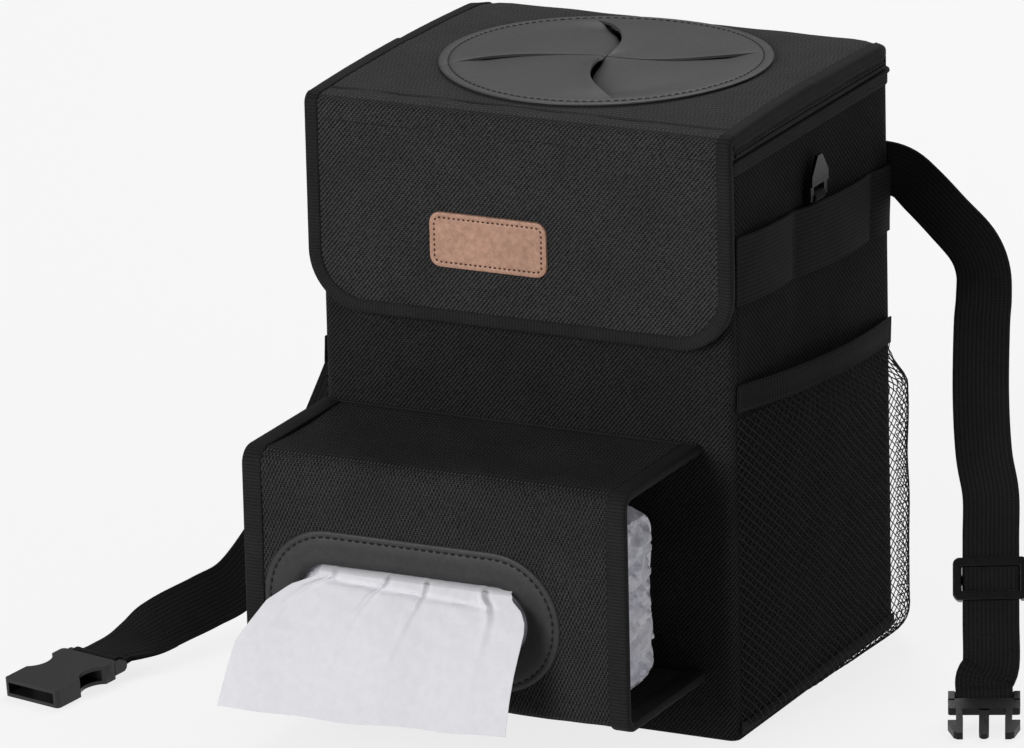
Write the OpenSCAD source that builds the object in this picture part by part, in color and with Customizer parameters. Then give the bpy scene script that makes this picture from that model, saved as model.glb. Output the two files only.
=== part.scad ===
// Car litter bin and organizer: a stiffened fabric box with a hinged lid,
// a swirl-slit rubber disc in the lid, a front flap, a tissue holder on the
// front, a mesh pocket and a webbing band on each side, and two straps with
// a side-release buckle at the back.
// X runs to the right, Y runs to the back and Z runs up. The origin is the
// middle of the underside of the box.

/* [Body] */
// Width of the box over its outer fabric
body_w = 197; // [160:1:260]
// Depth of the box over its outer fabric
body_d = 168; // [140:1:220]
// Height of the walls up to their top edge
body_h = 261; // [220:1:320]
// Radius of the upright corners
corner_r = 5; // [4:0.5:10]
// Thickness of the outer fabric
fabric_t = 1; // [0.6:0.1:1.5]
// Thickness of the stiffening boards in the walls
board_t = 2; // [1:0.1:3]
// Thickness of the stiffening board in the base
base_board_t = 2.4; // [1:0.1:4]
// Thickness of the waterproof liner
liner_t = 0.8; // [0.4:0.1:1.5]

/* [Edge tape] */
// Thickness of the folded edge tape
tape_t = 0.9; // [0.5:0.1:1.2]
// Height of the tape on the rim of the box
rim_tape_h = 7; // [5:0.5:12]
// Radius of the piping bead on the rim
bead_r = 1.1; // [0.6:0.1:1.5]
// Width of the tape on the flap and the lid
edge_tape_w = 5.6; // [4:0.1:10]

/* [Lid] */
// How far the lid stands out past the box on each side
lid_over = 3.1; // [2.5:0.1:6]
// Height of the lid from its lower edge to its top fabric
lid_h = 10.6; // [9:0.1:20]
// Radius of the bend at the back of the lid
lid_back_r = 6; // [3:0.5:8]
// Thickness of the lid's board
lid_board_t = 2.1; // [1:0.1:3]
// Thickness of the lid's lining
lid_lining_t = 0.8; // [0.5:0.1:1.5]
// Running gap between the lid and the rim
lid_gap = 0.3; // [0.2:0.1:1]
// Running gap between the flap and the front of the rim
flap_gap = 0.4; // [0.3:0.1:1.5]

/* [Swirl disc] */
// Radius of the rubber disc
disc_r = 73.5; // [50:0.5:78]
// Thickness of the rubber disc
disc_t = 1.6; // [1:0.1:3]
// How far the disc's centre lies behind the middle of the box
disc_y = 2; // [-4:0.5:4]
// Width of the disc's rim that is sewn to the lid
disc_rim = 10; // [6:0.5:16]
// Number of swirl slits
slit_n = 4; // [3:1:6]
// Bending radius of a slit
slit_bend_r = 68; // [55:1:90]
// Width of a slit
slit_w = 0.9; // [0.6:0.1:2]
// Distance from a slit's outer end to the edge of the disc
slit_margin = 8.5; // [7:0.5:30]

/* [Front flap] */
// Height of the flap's lower edge above the ground
flap_bottom = 176.5; // [150:0.5:200]
// Radius of the flap's lower corners
flap_corner_r = 26; // [10:1:40]
// Outer radius of the fabric roll where the flap folds
roll_r = 4.2; // [3.8:0.1:6]
// Thickness of the flap's outer fabric
flap_fabric_t = 0.9; // [0.5:0.1:1.5]
// Thickness of the flap's board
flap_board_t = 1.6; // [1:0.1:2]
// Thickness of the flap's lining
flap_lining_t = 0.7; // [0.5:0.1:1]
// Width of the hook and loop closure
closure_w = 60; // [20:1:90]
// Height of the hook and loop closure
closure_h = 20; // [10:1:30]
// Thickness of the hook and loop closure strips
closure_t = 0.8; // [0.3:0.1:0.8]

/* [Leather patch] */
// Width of the leather patch
patch_w = 56; // [30:1:80]
// Height of the leather patch
patch_h = 24.6; // [15:0.1:40]
// Thickness of the leather patch
patch_t = 1.6; // [0.8:0.1:3]
// Corner radius of the leather patch
patch_r = 5; // [2:0.5:10]
// Sideways place of the patch's centre
patch_x = -13.6; // [-60:0.1:60]
// Height of the patch's centre above the ground
patch_z = 214.5; // [195:0.5:235]

/* [Tissue holder] */
// Left end of the holder
holder_left = -98.5; // [-98.5:0.5:-80]
// Right end of the holder
holder_right = 82.5; // [50:0.5:90]
// How far the holder stands out from the box
holder_d = 77; // [60:1:95]
// Height of the holder's underside above the ground
holder_bottom = 27; // [10:1:40]
// Height of the holder's top above the ground
holder_top = 133; // [115:1:150]
// Thickness of the holder's wall
holder_t = 2.6; // [1.5:0.1:4]
// Radius of the holder's front edges
holder_r = 7; // [4:0.5:12]
// Width of the tape round the holder's open ends
holder_tape_w = 8.4; // [6:0.1:9]
// Length of the window surround
window_w = 141.5; // [100:0.5:150]
// Height of the window surround
window_h = 63; // [40:1:80]
// Sideways place of the window's centre
window_x = -19; // [-30:0.5:10]
// Height of the window's centre above the ground
window_z = 69.5; // [60:0.5:90]
// Width of the leatherette round the window
surround_w = 15.5; // [8:0.5:20]
// Thickness of the leatherette
surround_t = 1.2; // [0.6:0.1:2]

/* [Tissue pack] */
// Length of the pack
pack_w = 160; // [120:1:165]
// Depth of the pack
pack_d = 45; // [25:1:60]
// Height of the pack
pack_h = 88; // [60:1:95]
// Rounding of the pack
pack_r = 13; // [6:1:20]
// Thickness of the pulled-out tissue
tissue_t = 0.8; // [0.4:0.1:2]
// How far the tissue's lower edge stands out from the holder
tissue_out = 27; // [15:1:45]
// Forward bow of the hanging tissue
tissue_sag = 4; // [2:0.5:8]

/* [Side webbing and pockets] */
// Width of the webbing band
band_h = 30; // [20:1:40]
// Thickness of the webbing band
band_t = 1.6; // [1:0.1:2.5]
// Height of the webbing band's middle above the ground
band_z = 206.7; // [190:0.1:230]
// Downward slope of the webbing band towards the back in degrees
band_slope = 3.5; // [0:0.1:6]
// Place of the front stitch line of the webbing band
band_stitch_front = -22; // [-50:1:10]
// Place of the back stitch line of the webbing band
band_stitch_back = 60; // [20:1:70]
// How far the widest loop of the webbing band stands off the wall
band_bow = 3; // [1:0.1:4]
// Height of the elastic along the pocket's mouth
elastic_h = 12; // [8:0.5:20]
// Thickness of the elastic
elastic_t = 1.4; // [0.8:0.1:2]
// Height of the elastic's middle above the ground
elastic_z = 147.8; // [120:0.1:165]
// Downward slope of the elastic towards the back in degrees
elastic_slope = 5; // [0:0.1:7]
// How far the elastic bows off the wall
elastic_bow = 6.5; // [5:0.1:9]
// How far the mesh pocket bulges off the wall
pocket_bulge = 17; // [14:0.5:24]
// Thickness of the pocket's mesh
mesh_t = 1.2; // [0.8:0.1:2]
// Place of the pocket's widest line
pocket_peak = 56; // [30:1:62]
// Width of the mesh gaps with their strand
mesh_pitch_y = 15; // [15:0.5:24]
// Height of the mesh gaps with their strand
mesh_pitch_z = 18; // [18:0.5:30]
// Width of a mesh strand
strand_w = 2.6; // [1.5:0.1:4]

/* [Side hook] */
// Place of the hook along the side
hook_y = -1; // [-4:0.5:30]
// Height of the hook's bar above the ground
hook_bar_z = 225; // [224.5:0.5:232]
// Width of the hook over its two legs
hook_w = 17; // [14:0.5:20]
// Length of the hook from its bar to its tip
hook_l = 18.5; // [16:0.5:22]
// Thickness of the hook
hook_t = 3; // [2.4:0.1:3.4]
// How far the hook's tongue stands off the wall
hook_off = 3.4; // [2.5:0.1:5]
// Thickness of the webbing tab that holds the hook
tab_t = 0.8; // [0.6:0.1:0.8]

/* [Straps and buckles] */
// Width of the strap webbing
strap_w = 25; // [20:0.5:25]
// Thickness of the strap webbing
strap_t = 1.6; // [1:0.1:2]
// Height of the straps on the back panel
strap_z = 214; // [190:1:225]
// Length of the patch that covers a strap's sewn end
cover_l = 32; // [30:1:60]
// Height of the patch that covers a strap's sewn end
cover_h = 38; // [30:1:50]
// Thickness of the patch that covers a strap's sewn end
cover_t = 1.2; // [0.8:0.1:2]
// Radius of the bars that the webbing runs round
bar_r = 1.8; // [1.4:0.1:2.2]
// Clearance of the webbing round bars and in slots
strap_gap = 0.3; // [0.2:0.1:0.6]
// Height of the buckle socket over both faces
socket_h = 8.4; // [7:0.1:11]
// Thickness of the buckle socket's walls
socket_wall = 1.7; // [1.2:0.1:2.2]
// Length of the buckle socket from its bar to its mouth
socket_l = 44; // [38:1:50]
// Length of the buckle prongs from the bar to the tip
prong_l = 31; // [27:0.5:36]
// Thickness of the pronged half
prong_t = 3.6; // [3:0.1:4]
// Height of the sliding adjuster along the strap
glide_l = 19; // [15:0.5:26]
// Thickness of the sliding adjuster's bars
glide_t = 2; // [1.5:0.1:3]

/* [Hidden] */
$fn = 64;

hw = body_w / 2;
hd = body_d / 2;
wall_t = fabric_t + board_t + liner_t;
// Top of the rim tape and lower edge of the lid
rim_z = body_h + tape_t;
lid_z = rim_z + lid_gap;
lid_top = lid_z + lid_h;
lid_hw = hw + lid_over - tape_t;
lid_back = hd + tape_t;
lid_under = lid_top - fabric_t;
// Layers of the flap, counted forwards from the rim tape
flap_tape_back = -hd - tape_t - flap_gap;
flap_back = flap_tape_back - tape_t;
flap_board_y = flap_back - flap_lining_t;
flap_fabric_y = flap_board_y - flap_board_t;
flap_front = flap_fabric_y - flap_fabric_t;
// Middle of the roll at the flap's fold, and where the lid begins behind it
fold_y = flap_front + roll_r;
fold_z = lid_top - roll_r;
lid_front = fold_y + lid_gap;
// Front of the tissue holder
holder_y = -hd - holder_d;
pack_right = holder_right - 11;
pack_y = holder_y + holder_t + lid_gap;
pack_z = holder_bottom + holder_t + lid_gap;
// Inner corner of the stitched loop of webbing round a bar
loop_in_r = bar_r + strap_gap;
loop_mid_r = loop_in_r + strap_t / 2;
fine = 96;

// Outline of a rectangle with round corners, centred on the origin
module round_rect(w, d, r) {
    square([w - 2 * r, d], center = true);
    square([w, d - 2 * r], center = true);
    for (x = [-1, 1], y = [-1, 1])
        translate([x * (w / 2 - r), y * (d / 2 - r)]) circle(r);
}

// A closed band that lies inside the same outline
module round_ring(w, d, r, t) {
    difference() {
        round_rect(w, d, r);
        if (r - t > 0.2)
            round_rect(w - 2 * t, d - 2 * t, r - t);
        else
            square([w - 2 * t, d - 2 * t], center = true);
    }
}

// Turns an outline drawn in Y and Z into a bar between two places on X
module along_x(x0, x1) {
    translate([x0, 0, 0])
        rotate([90, 0, 90])
            linear_extrude(x1 - x0) children();
}

// Turns an outline drawn in X and Z into a bar between two places on Y
module along_y(y0, y1) {
    translate([0, y1, 0])
        rotate([90, 0, 0])
            linear_extrude(y1 - y0) children();
}

// A strip of outline that keeps one end of the box
module end_zone(front) {
    s = front ? -1 : 1;
    translate([0, s * (hd + 10 - (corner_r + 10) / 2)])
        square([body_w + 20, corner_r + 10], center = true);
}

// A strip of outline that keeps one flat side of the box
module side_zone(right) {
    s = right ? 1 : -1;
    translate([s * hw, 0])
        square([4 * corner_r, body_d - 2 * corner_r], center = true);
}

module wall_fabric() {
    translate([0, 0, fabric_t])
        linear_extrude(body_h - fabric_t)
            intersection() {
                round_ring(body_w, body_d, corner_r, fabric_t);
                children();
            }
}

module front_panel() {
    color([0.10, 0.10, 0.11]) wall_fabric() end_zone(true);
}

module back_panel() {
    color([0.10, 0.10, 0.11]) wall_fabric() end_zone(false);
}

module side_panel_left() {
    color([0.12, 0.12, 0.13]) wall_fabric() side_zone(false);
}

module side_panel_right() {
    color([0.12, 0.12, 0.13]) wall_fabric() side_zone(true);
}

module base_panel() {
    color([0.09, 0.09, 0.10])
        linear_extrude(fabric_t) round_rect(body_w, body_d, corner_r);
}

module long_board(s) {
    translate([0, s * (hd - fabric_t - board_t / 2), (fabric_t + body_h) / 2])
        cube([body_w - 2 * corner_r, board_t, body_h - fabric_t], center = true);
}

module short_board(s) {
    translate([s * (hw - fabric_t - board_t / 2), 0, (fabric_t + body_h) / 2])
        cube([board_t, body_d - 2 * corner_r, body_h - fabric_t], center = true);
}

module front_board() { color([0.75, 0.74, 0.70]) long_board(-1); }
module back_board() { color([0.75, 0.74, 0.70]) long_board(1); }
module side_board_left() { color([0.75, 0.74, 0.70]) short_board(-1); }
module side_board_right() { color([0.75, 0.74, 0.70]) short_board(1); }

liner_w = body_w - 2 * (fabric_t + board_t);
liner_d = body_d - 2 * (fabric_t + board_t);
liner_z = fabric_t + base_board_t;

module base_board() {
    color([0.75, 0.74, 0.70])
        translate([0, 0, fabric_t])
            linear_extrude(base_board_t) square([liner_w, liner_d], center = true);
}

module inner_liner() {
    color([0.42, 0.43, 0.45]) {
        translate([0, 0, liner_z])
            linear_extrude(liner_t) square([liner_w, liner_d], center = true);
        translate([0, 0, liner_z])
            linear_extrude(body_h - liner_z)
                round_ring(liner_w, liner_d, 0, liner_t);
    }
}

// Piping bead that runs round the rim
module rim_bead() {
    bw = body_w + 2 * tape_t;
    bd = body_d + 2 * tape_t;
    br = corner_r + tape_t;
    translate([0, 0, body_h - bead_r]) {
        for (s = [-1, 1]) {
            translate([-bw / 2 + br, s * bd / 2, 0])
                rotate([0, 90, 0]) cylinder(r = bead_r, h = bw - 2 * br);
            translate([s * bw / 2, -bd / 2 + br, 0])
                rotate([-90, 0, 0]) cylinder(r = bead_r, h = bd - 2 * br);
        }
        for (k = [0:3])
            translate([(k == 0 || k == 3 ? 1 : -1) * (bw / 2 - br),
                       (k < 2 ? 1 : -1) * (bd / 2 - br), 0])
                rotate([0, 0, 90 * k])
                    rotate_extrude(angle = 90) translate([br, 0]) circle(bead_r);
    }
}

module rim_binding() {
    color([0.16, 0.16, 0.17])
        difference() {
            union() {
                translate([0, 0, body_h - rim_tape_h])
                    linear_extrude(rim_tape_h + tape_t)
                        round_ring(body_w + 2 * tape_t, body_d + 2 * tape_t,
                                   corner_r + tape_t, wall_t + 2 * tape_t);
                intersection() {
                    rim_bead();
                    translate([0, 10, body_h])
                        cube([2 * body_w, body_d + 20, 20], center = true);
                }
            }
            translate([0, 0, body_h - rim_tape_h - 1])
                linear_extrude(rim_tape_h + 1)
                    round_ring(body_w, body_d, corner_r, wall_t);
        }
}

// Side view of the lid, drawn in Y and Z and grown by g
module lid_side(g) {
    r = lid_back_r + g;
    y1 = lid_back + g;
    z1 = lid_top + g;
    translate([lid_front, lid_z]) square([y1 - r - lid_front, z1 - lid_z]);
    translate([lid_front, lid_z]) square([y1 - lid_front, z1 - r - lid_z]);
    intersection() {
        translate([y1 - r, z1 - r]) circle(r);
        translate([lid_front, lid_z]) square([y1 - lid_front, z1 - lid_z]);
    }
}

disc_open_r = disc_r - disc_rim;

module lid_panel() {
    color([0.10, 0.10, 0.11])
        difference() {
            along_x(-lid_hw, lid_hw)
                difference() {
                    lid_side(0);
                    lid_side(-fabric_t);
                }
            translate([0, disc_y, lid_z])
                cylinder(r = disc_open_r, h = 2 * lid_h, $fn = fine);
        }
}

module lid_gusset(s) {
    translate([s > 0 ? lid_hw - fabric_t : -lid_hw, 0, 0])
        along_x(0, fabric_t) lid_side(-fabric_t);
}

module lid_gusset_left() { color([0.10, 0.10, 0.11]) lid_gusset(-1); }
module lid_gusset_right() { color([0.10, 0.10, 0.11]) lid_gusset(1); }

module lid_layer(back, z0, t) {
    difference() {
        translate([-lid_hw + fabric_t, lid_front, z0])
            cube([2 * (lid_hw - fabric_t), back - lid_front, t]);
        translate([0, disc_y, z0 - 1])
            cylinder(r = disc_open_r, h = t + 2, $fn = fine);
    }
}

module lid_board() {
    color([0.75, 0.74, 0.70])
        lid_layer(lid_back - lid_back_r, lid_under - lid_board_t, lid_board_t);
}

module lid_lining() {
    color([0.42, 0.43, 0.45])
        lid_layer(lid_back - lid_back_r + 2,
                  lid_under - lid_board_t - lid_lining_t, lid_lining_t);
}

// Tape folded over a side edge of the lid
module lid_binding(s) {
    mirror([s > 0 ? 0 : 1, 0, 0]) {
        along_x(lid_hw, lid_hw + tape_t)
            difference() {
                lid_side(tape_t);
                translate([lid_front - 1, lid_z - 1])
                    square([lid_back - edge_tape_w - lid_front + 1,
                            lid_h - edge_tape_w + 1]);
            }
        along_x(lid_hw - edge_tape_w, lid_hw)
            difference() {
                lid_side(tape_t);
                lid_side(0);
            }
    }
}

module lid_binding_left() { color([0.17, 0.17, 0.18]) lid_binding(-1); }
module lid_binding_right() { color([0.17, 0.17, 0.18]) lid_binding(1); }

// One curved slit, from the middle of the disc towards its edge
module swirl_slit() {
    reach = 2 * asin((disc_r - slit_margin) / (2 * slit_bend_r));
    intersection() {
        translate([-slit_bend_r, 0])
            difference() {
                circle(slit_bend_r + slit_w / 2, $fn = fine);
                circle(slit_bend_r - slit_w / 2, $fn = fine);
            }
        translate([-slit_bend_r, 0])
            polygon([[0, 0], [2 * slit_bend_r, 0],
                     [2 * slit_bend_r, 2 * slit_bend_r * tan(reach)]]);
    }
}

module swirl_disc() {
    color([0.27, 0.27, 0.28])
        translate([0, disc_y, lid_top])
            difference() {
                cylinder(r = disc_r, h = disc_t, $fn = fine);
                for (k = [0:slit_n - 1])
                    rotate([0, 0, 360 / slit_n * k])
                        translate([0, 0, -1])
                            linear_extrude(disc_t + 2) swirl_slit();
            }
}

// Front view of the flap, drawn in X and Z and grown by g
module flap_outline(g) {
    r = flap_corner_r + g;
    w = 2 * (lid_hw + g);
    z0 = flap_bottom + tape_t - g;
    translate([-w / 2, z0 + r]) square([w, fold_z - z0 - r]);
    translate([-w / 2 + r, z0]) square([w - 2 * r, r]);
    for (s = [-1, 1]) translate([s * (w / 2 - r), z0 + r]) circle(r);
}

// Quarter of a ring round the fold, between two radii
module fold_quarter(x0, x1, r1, r0) {
    along_x(x0, x1)
        translate([fold_y, fold_z])
            intersection() {
                difference() {
                    circle(r1);
                    if (r0 > 0) circle(r0);
                }
                translate([-2 * r1, 0]) square(2 * r1);
            }
}

module flap_panel() {
    color([0.10, 0.10, 0.11]) {
        along_y(flap_front, flap_fabric_y) flap_outline(0);
        fold_quarter(-lid_hw, lid_hw, roll_r, roll_r - flap_fabric_t);
    }
}

module flap_board() {
    color([0.75, 0.74, 0.70])
        along_y(flap_fabric_y, flap_board_y)
            intersection() {
                flap_outline(-2.6);
                translate([-body_w, 0]) square([2 * body_w, fold_z - 1]);
            }
}

module flap_lining() {
    color([0.12, 0.12, 0.13])
        along_y(flap_board_y, flap_back) flap_outline(0);
}

module flap_tape_layer() {
    difference() {
        flap_outline(0);
        translate([0, 0.01]) flap_outline(-edge_tape_w);
    }
}

module flap_binding() {
    color([0.17, 0.17, 0.18]) {
        along_y(flap_front - tape_t, flap_front) flap_tape_layer();
        along_y(flap_back, flap_tape_back) flap_tape_layer();
        along_y(flap_front - tape_t, flap_tape_back)
            difference() {
                flap_outline(tape_t);
                flap_outline(0);
            }
        for (s = [-1, 1]) {
            x0 = s > 0 ? lid_hw - edge_tape_w : -lid_hw - tape_t;
            fold_quarter(x0, x0 + edge_tape_w + tape_t, roll_r + tape_t, roll_r);
            fold_quarter(s > 0 ? lid_hw : -lid_hw - tape_t,
                         s > 0 ? lid_hw + tape_t : -lid_hw, roll_r + tape_t, 0);
        }
    }
}

module leather_patch() {
    color([0.62, 0.42, 0.30])
        along_y(flap_front - patch_t, flap_front)
            translate([patch_x, patch_z]) round_rect(patch_w, patch_h, patch_r);
}

module closure_strip(y0, y1) {
    along_y(y0, y1)
        translate([0, flap_bottom + edge_tape_w + closure_h / 2 + 4])
            square([closure_w, closure_h], center = true);
}

module flap_hook_strip() {
    color([0.07, 0.07, 0.08]) closure_strip(flap_back, flap_back + closure_t);
}

module front_loop_strip() {
    color([0.07, 0.07, 0.08]) closure_strip(-hd - closure_t, -hd);
}

// Side view of the tissue holder, drawn in Y and Z, shrunk by g
module holder_side(g) {
    r = max(holder_r - g, 0.5);
    y0 = holder_y + g;
    z0 = holder_bottom + g;
    z1 = holder_top - g;
    translate([y0 + r, z0]) square([-hd - y0 - r, z1 - z0]);
    translate([y0, z0 + r]) square([-hd - y0, z1 - z0 - 2 * r]);
    for (z = [z0 + r, z1 - r]) translate([y0 + r, z]) circle(r);
}

// Outline of the window, drawn in X and Z, grown by g
module window_outline(g) {
    r = window_h / 2 - surround_w + g;
    half = window_w / 2 - surround_w + g - r;
    translate([window_x, window_z]) {
        square([2 * half, 2 * r], center = true);
        for (s = [-1, 1]) translate([s * half, 0]) circle(r);
    }
}

module holder_strip() {
    color([0.10, 0.10, 0.11])
        difference() {
            along_x(holder_left, holder_right)
                difference() {
                    holder_side(0);
                    holder_side(holder_t);
                }
            along_y(holder_y - 5, holder_y + 2 * holder_r) window_outline(0.6);
        }
}

module holder_binding(s) {
    x0 = s > 0 ? holder_right - holder_tape_w : holder_left - tape_t;
    x1 = s > 0 ? holder_right + tape_t : holder_left + holder_tape_w;
    difference() {
        along_x(x0, x1)
            difference() {
                holder_side(-tape_t);
                holder_side(holder_t + tape_t);
            }
        along_x(holder_left, holder_right)
            difference() {
                holder_side(0);
                holder_side(holder_t);
            }
    }
}

module holder_binding_left() { color([0.17, 0.17, 0.18]) holder_binding(-1); }
module holder_binding_right() { color([0.17, 0.17, 0.18]) holder_binding(1); }

module window_surround() {
    color([0.20, 0.20, 0.21])
        along_y(holder_y - surround_t, holder_y)
            difference() {
                window_outline(surround_w);
                window_outline(0);
            }
}

// Soft pillow: the shape that three rounded outlines share
module tissue_pack() {
    x_mid = pack_right - pack_w / 2;
    y_mid = pack_y + pack_d / 2;
    z_mid = pack_z + pack_h / 2;
    color([0.93, 0.93, 0.95])
        translate([x_mid, y_mid, z_mid])
            intersection() {
                rotate([90, 0, 90])
                    translate([0, 0, -pack_w / 2])
                        linear_extrude(pack_w) round_rect(pack_d, pack_h, pack_r);
                translate([0, 0, -pack_h / 2])
                    linear_extrude(pack_h) round_rect(pack_w, pack_d, pack_r);
                rotate([90, 0, 0])
                    translate([0, 0, -pack_d / 2])
                        linear_extrude(pack_d) round_rect(pack_w, pack_h, pack_r);
            }
}

// Pulled-out tissue: it leaves the pack through the top of the window, bends
// down and hangs in front of the holder
tissue_top = window_z + window_h / 2 - surround_w - 1.5;
tissue_low = holder_bottom - 1;
tissue_y = holder_y - surround_t - tissue_t - 1;

module tissue_side() {
    drop = tissue_top - tissue_low;
    span = sqrt(drop * drop + tissue_out * tissue_out);
    bend = span * span / (8 * tissue_sag) + tissue_sag / 2;
    translate([tissue_y, tissue_top])
        rotate(-90 - atan2(tissue_out, drop))
            intersection() {
                translate([span / 2, tissue_sag - bend])
                    difference() {
                        circle(bend + tissue_t, $fn = 4 * fine);
                        circle(bend, $fn = 4 * fine);
                    }
                translate([0, -tissue_t]) square([span, 3 * tissue_sag]);
            }
}

// The stretch of tissue from the pack to the outside of the window
module tissue_tail() {
    reach = window_w / 2 - surround_w - tail_inset;
    translate([window_x - reach, tissue_y - 1, tissue_top - tissue_t])
        cube([2 * reach, pack_y - tissue_y + 1, tissue_t]);
}

tail_inset = 12;

module tissue_sheet() {
    color([0.95, 0.95, 0.97]) {
        tissue_tail();
        intersection() {
            along_x(holder_left - 10, holder_right) tissue_side();
            along_y(holder_y - 2 * tissue_out, holder_y + 20)
                polygon([[-61, tissue_top + 5], [-61, tissue_top - 2],
                         [-82, 71], [-93, 54], [-100, tissue_low - 5],
                         [40, tissue_low - 5], [41, 70], [35, tissue_top - 2],
                         [35, tissue_top + 5]]);
        }
    }
}

// Strip of thickness t that bows off the side wall by s between two places
// on Y, drawn from above
module bowed_strip(y0, y1, s, t) {
    half = (y1 - y0) / 2;
    bend = (half * half + s * s) / (2 * s);
    intersection() {
        translate([hw + s - bend, y0 + half])
            difference() {
                circle(bend + t, $fn = long_fn);
                circle(bend, $fn = long_fn);
            }
        translate([hw, y0]) square([s + 2 * t, y1 - y0]);
    }
}

module flat_strip(y0, y1, t) {
    translate([hw, y0]) square([t, y1 - y0]);
}

// Places what it holds on a line that slopes down to the back
module sloped(z, slope) {
    translate([0, 0, z]) rotate([-slope, 0, 0]) children();
}

long_fn = 360;
strip_reach = hd - 3;
sewn_l = 3;
band_knots = [-strip_reach, band_stitch_front, band_stitch_back, strip_reach];
band_widest = band_stitch_back - band_stitch_front - sewn_l;

module webbing_band(s) {
    mirror([s > 0 ? 0 : 1, 0, 0])
        sloped(band_z, band_slope)
            translate([0, 0, -band_h / 2])
                linear_extrude(band_h)
                    for (k = [0:2]) {
                        y0 = band_knots[k] + sewn_l / 2;
                        y1 = band_knots[k + 1] - sewn_l / 2;
                        bowed_strip(y0, y1, band_bow * (y1 - y0) / band_widest, band_t);
                        flat_strip(y0 - sewn_l / 2, y0, band_t);
                        flat_strip(y1, y1 + sewn_l / 2, band_t);
                    }
}

module webbing_band_left() { color([0.15, 0.15, 0.16]) webbing_band(-1); }
module webbing_band_right() { color([0.15, 0.15, 0.16]) webbing_band(1); }

module pocket_elastic(s) {
    mirror([s > 0 ? 0 : 1, 0, 0])
        sloped(elastic_z, elastic_slope)
            translate([0, 0, -elastic_h / 2])
                linear_extrude(elastic_h) {
                    bowed_strip(-strip_reach + sewn_l, strip_reach - sewn_l,
                                elastic_bow, elastic_t);
                    flat_strip(-strip_reach, -strip_reach + sewn_l, elastic_t);
                    flat_strip(strip_reach - sewn_l, strip_reach, elastic_t);
                }
}

module pocket_elastic_left() { color([0.15, 0.15, 0.16]) pocket_elastic(-1); }
module pocket_elastic_right() { color([0.15, 0.15, 0.16]) pocket_elastic(1); }

// Space between the wall and the inside of the elastic, seen from above
module mouth_plan() {
    half = strip_reach - sewn_l;
    bend = (half * half + elastic_bow * elastic_bow) / (2 * elastic_bow);
    intersection() {
        translate([hw + elastic_bow - bend, 0]) circle(bend, $fn = long_fn);
        translate([hw, -half]) square([elastic_bow + 1, 2 * half]);
    }
}

// Bulge of the pocket seen from above, shrunk by g: a long arc from the
// front to the widest line and a tight one from there to the back
module pocket_plan(g) {
    front_l = strip_reach + pocket_peak;
    back_l = strip_reach - pocket_peak;
    front_bend = (front_l * front_l + pocket_bulge * pocket_bulge)
                 / (2 * pocket_bulge);
    back_bend = (back_l * back_l + pocket_bulge * pocket_bulge)
                / (2 * pocket_bulge);
    intersection() {
        translate([hw + pocket_bulge - front_bend, pocket_peak])
            circle(front_bend - g, $fn = long_fn);
        translate([hw, -strip_reach]) square([pocket_bulge + 1, front_l]);
    }
    intersection() {
        translate([hw + pocket_bulge - back_bend, pocket_peak])
            circle(back_bend - g);
        translate([hw, pocket_peak]) square([pocket_bulge + 1, back_l]);
    }
}

// Bulge of the pocket seen from the front, shrunk by g
module pocket_side(g) {
    r = pocket_turn - g;
    z0 = pocket_bottom + g;
    translate([hw, z0 + r]) square([pocket_bulge - g, elastic_z - z0 - r]);
    translate([hw, z0]) square([pocket_bulge - g - r, r + 1]);
    translate([hw + pocket_bulge - g - r, z0 + r]) circle(r);
}

pocket_turn = 12;
pocket_bottom = 5;

module pocket_volume(g) {
    intersection() {
        linear_extrude(elastic_z) pocket_plan(g);
        along_y(-hd, hd) pocket_side(g);
        sloped(elastic_z, elastic_slope)
            translate([0, -body_d, -2 * elastic_z - elastic_h / 2 - g])
                cube([body_w, 2 * body_d, 2 * elastic_z]);
    }
}

mesh_cols = floor((2 * strip_reach - 12) / mesh_pitch_y);
mesh_rows = floor((elastic_z - elastic_h / 2 - 24) / mesh_pitch_z * 2);

// Staggered diamond gaps of the net
module mesh_gaps() {
    dy = (mesh_pitch_y - strand_w) / 2;
    dz = (mesh_pitch_z - strand_w * mesh_pitch_z / mesh_pitch_y) / 2;
    y_start = -(mesh_cols - 1) * mesh_pitch_y / 2;
    z_start = pocket_bottom + pocket_turn + dz - 2;
    along_x(hw + 0.6, hw + pocket_bulge + 2)
        for (row = [0:mesh_rows - 1])
            for (col = [0:mesh_cols - 1 - row % 2]) {
                y = y_start + (col + (row % 2) / 2) * mesh_pitch_y;
                z = z_start + row * mesh_pitch_z / 2;
                z_limit = elastic_z - elastic_h / 2 - 4 - (y + dy) * tan(elastic_slope);
                if (z + dz < z_limit)
                    translate([y, z])
                        polygon([[-dy, 0], [0, -dz], [dy, 0], [0, dz]]);
            }
}

module pocket_mesh(s) {
    mirror([s > 0 ? 0 : 1, 0, 0])
        difference() {
            pocket_volume(0);
            pocket_volume(mesh_t);
            sloped(elastic_z, elastic_slope)
                translate([0, 0, -elastic_h])
                    linear_extrude(elastic_h) mouth_plan();
            mesh_gaps();
        }
}

module pocket_mesh_left() { color([0.20, 0.20, 0.21]) pocket_mesh(-1); }
module pocket_mesh_right() { color([0.20, 0.20, 0.21]) pocket_mesh(1); }

// Hook on the right side: a bar held by a webbing tab, two legs, a
// crosspiece and a pointed tongue that stands off the wall
bar_x = hw + 1.8 + tab_t;
tab_in_r = 1.8;
hook_leg_w = 3.2;
hook_cross_z = 5.5;
hook_cross_h = 3;
tab_w = hook_w - 2 * hook_leg_w - 0.6;
tab_l = 13;

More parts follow.
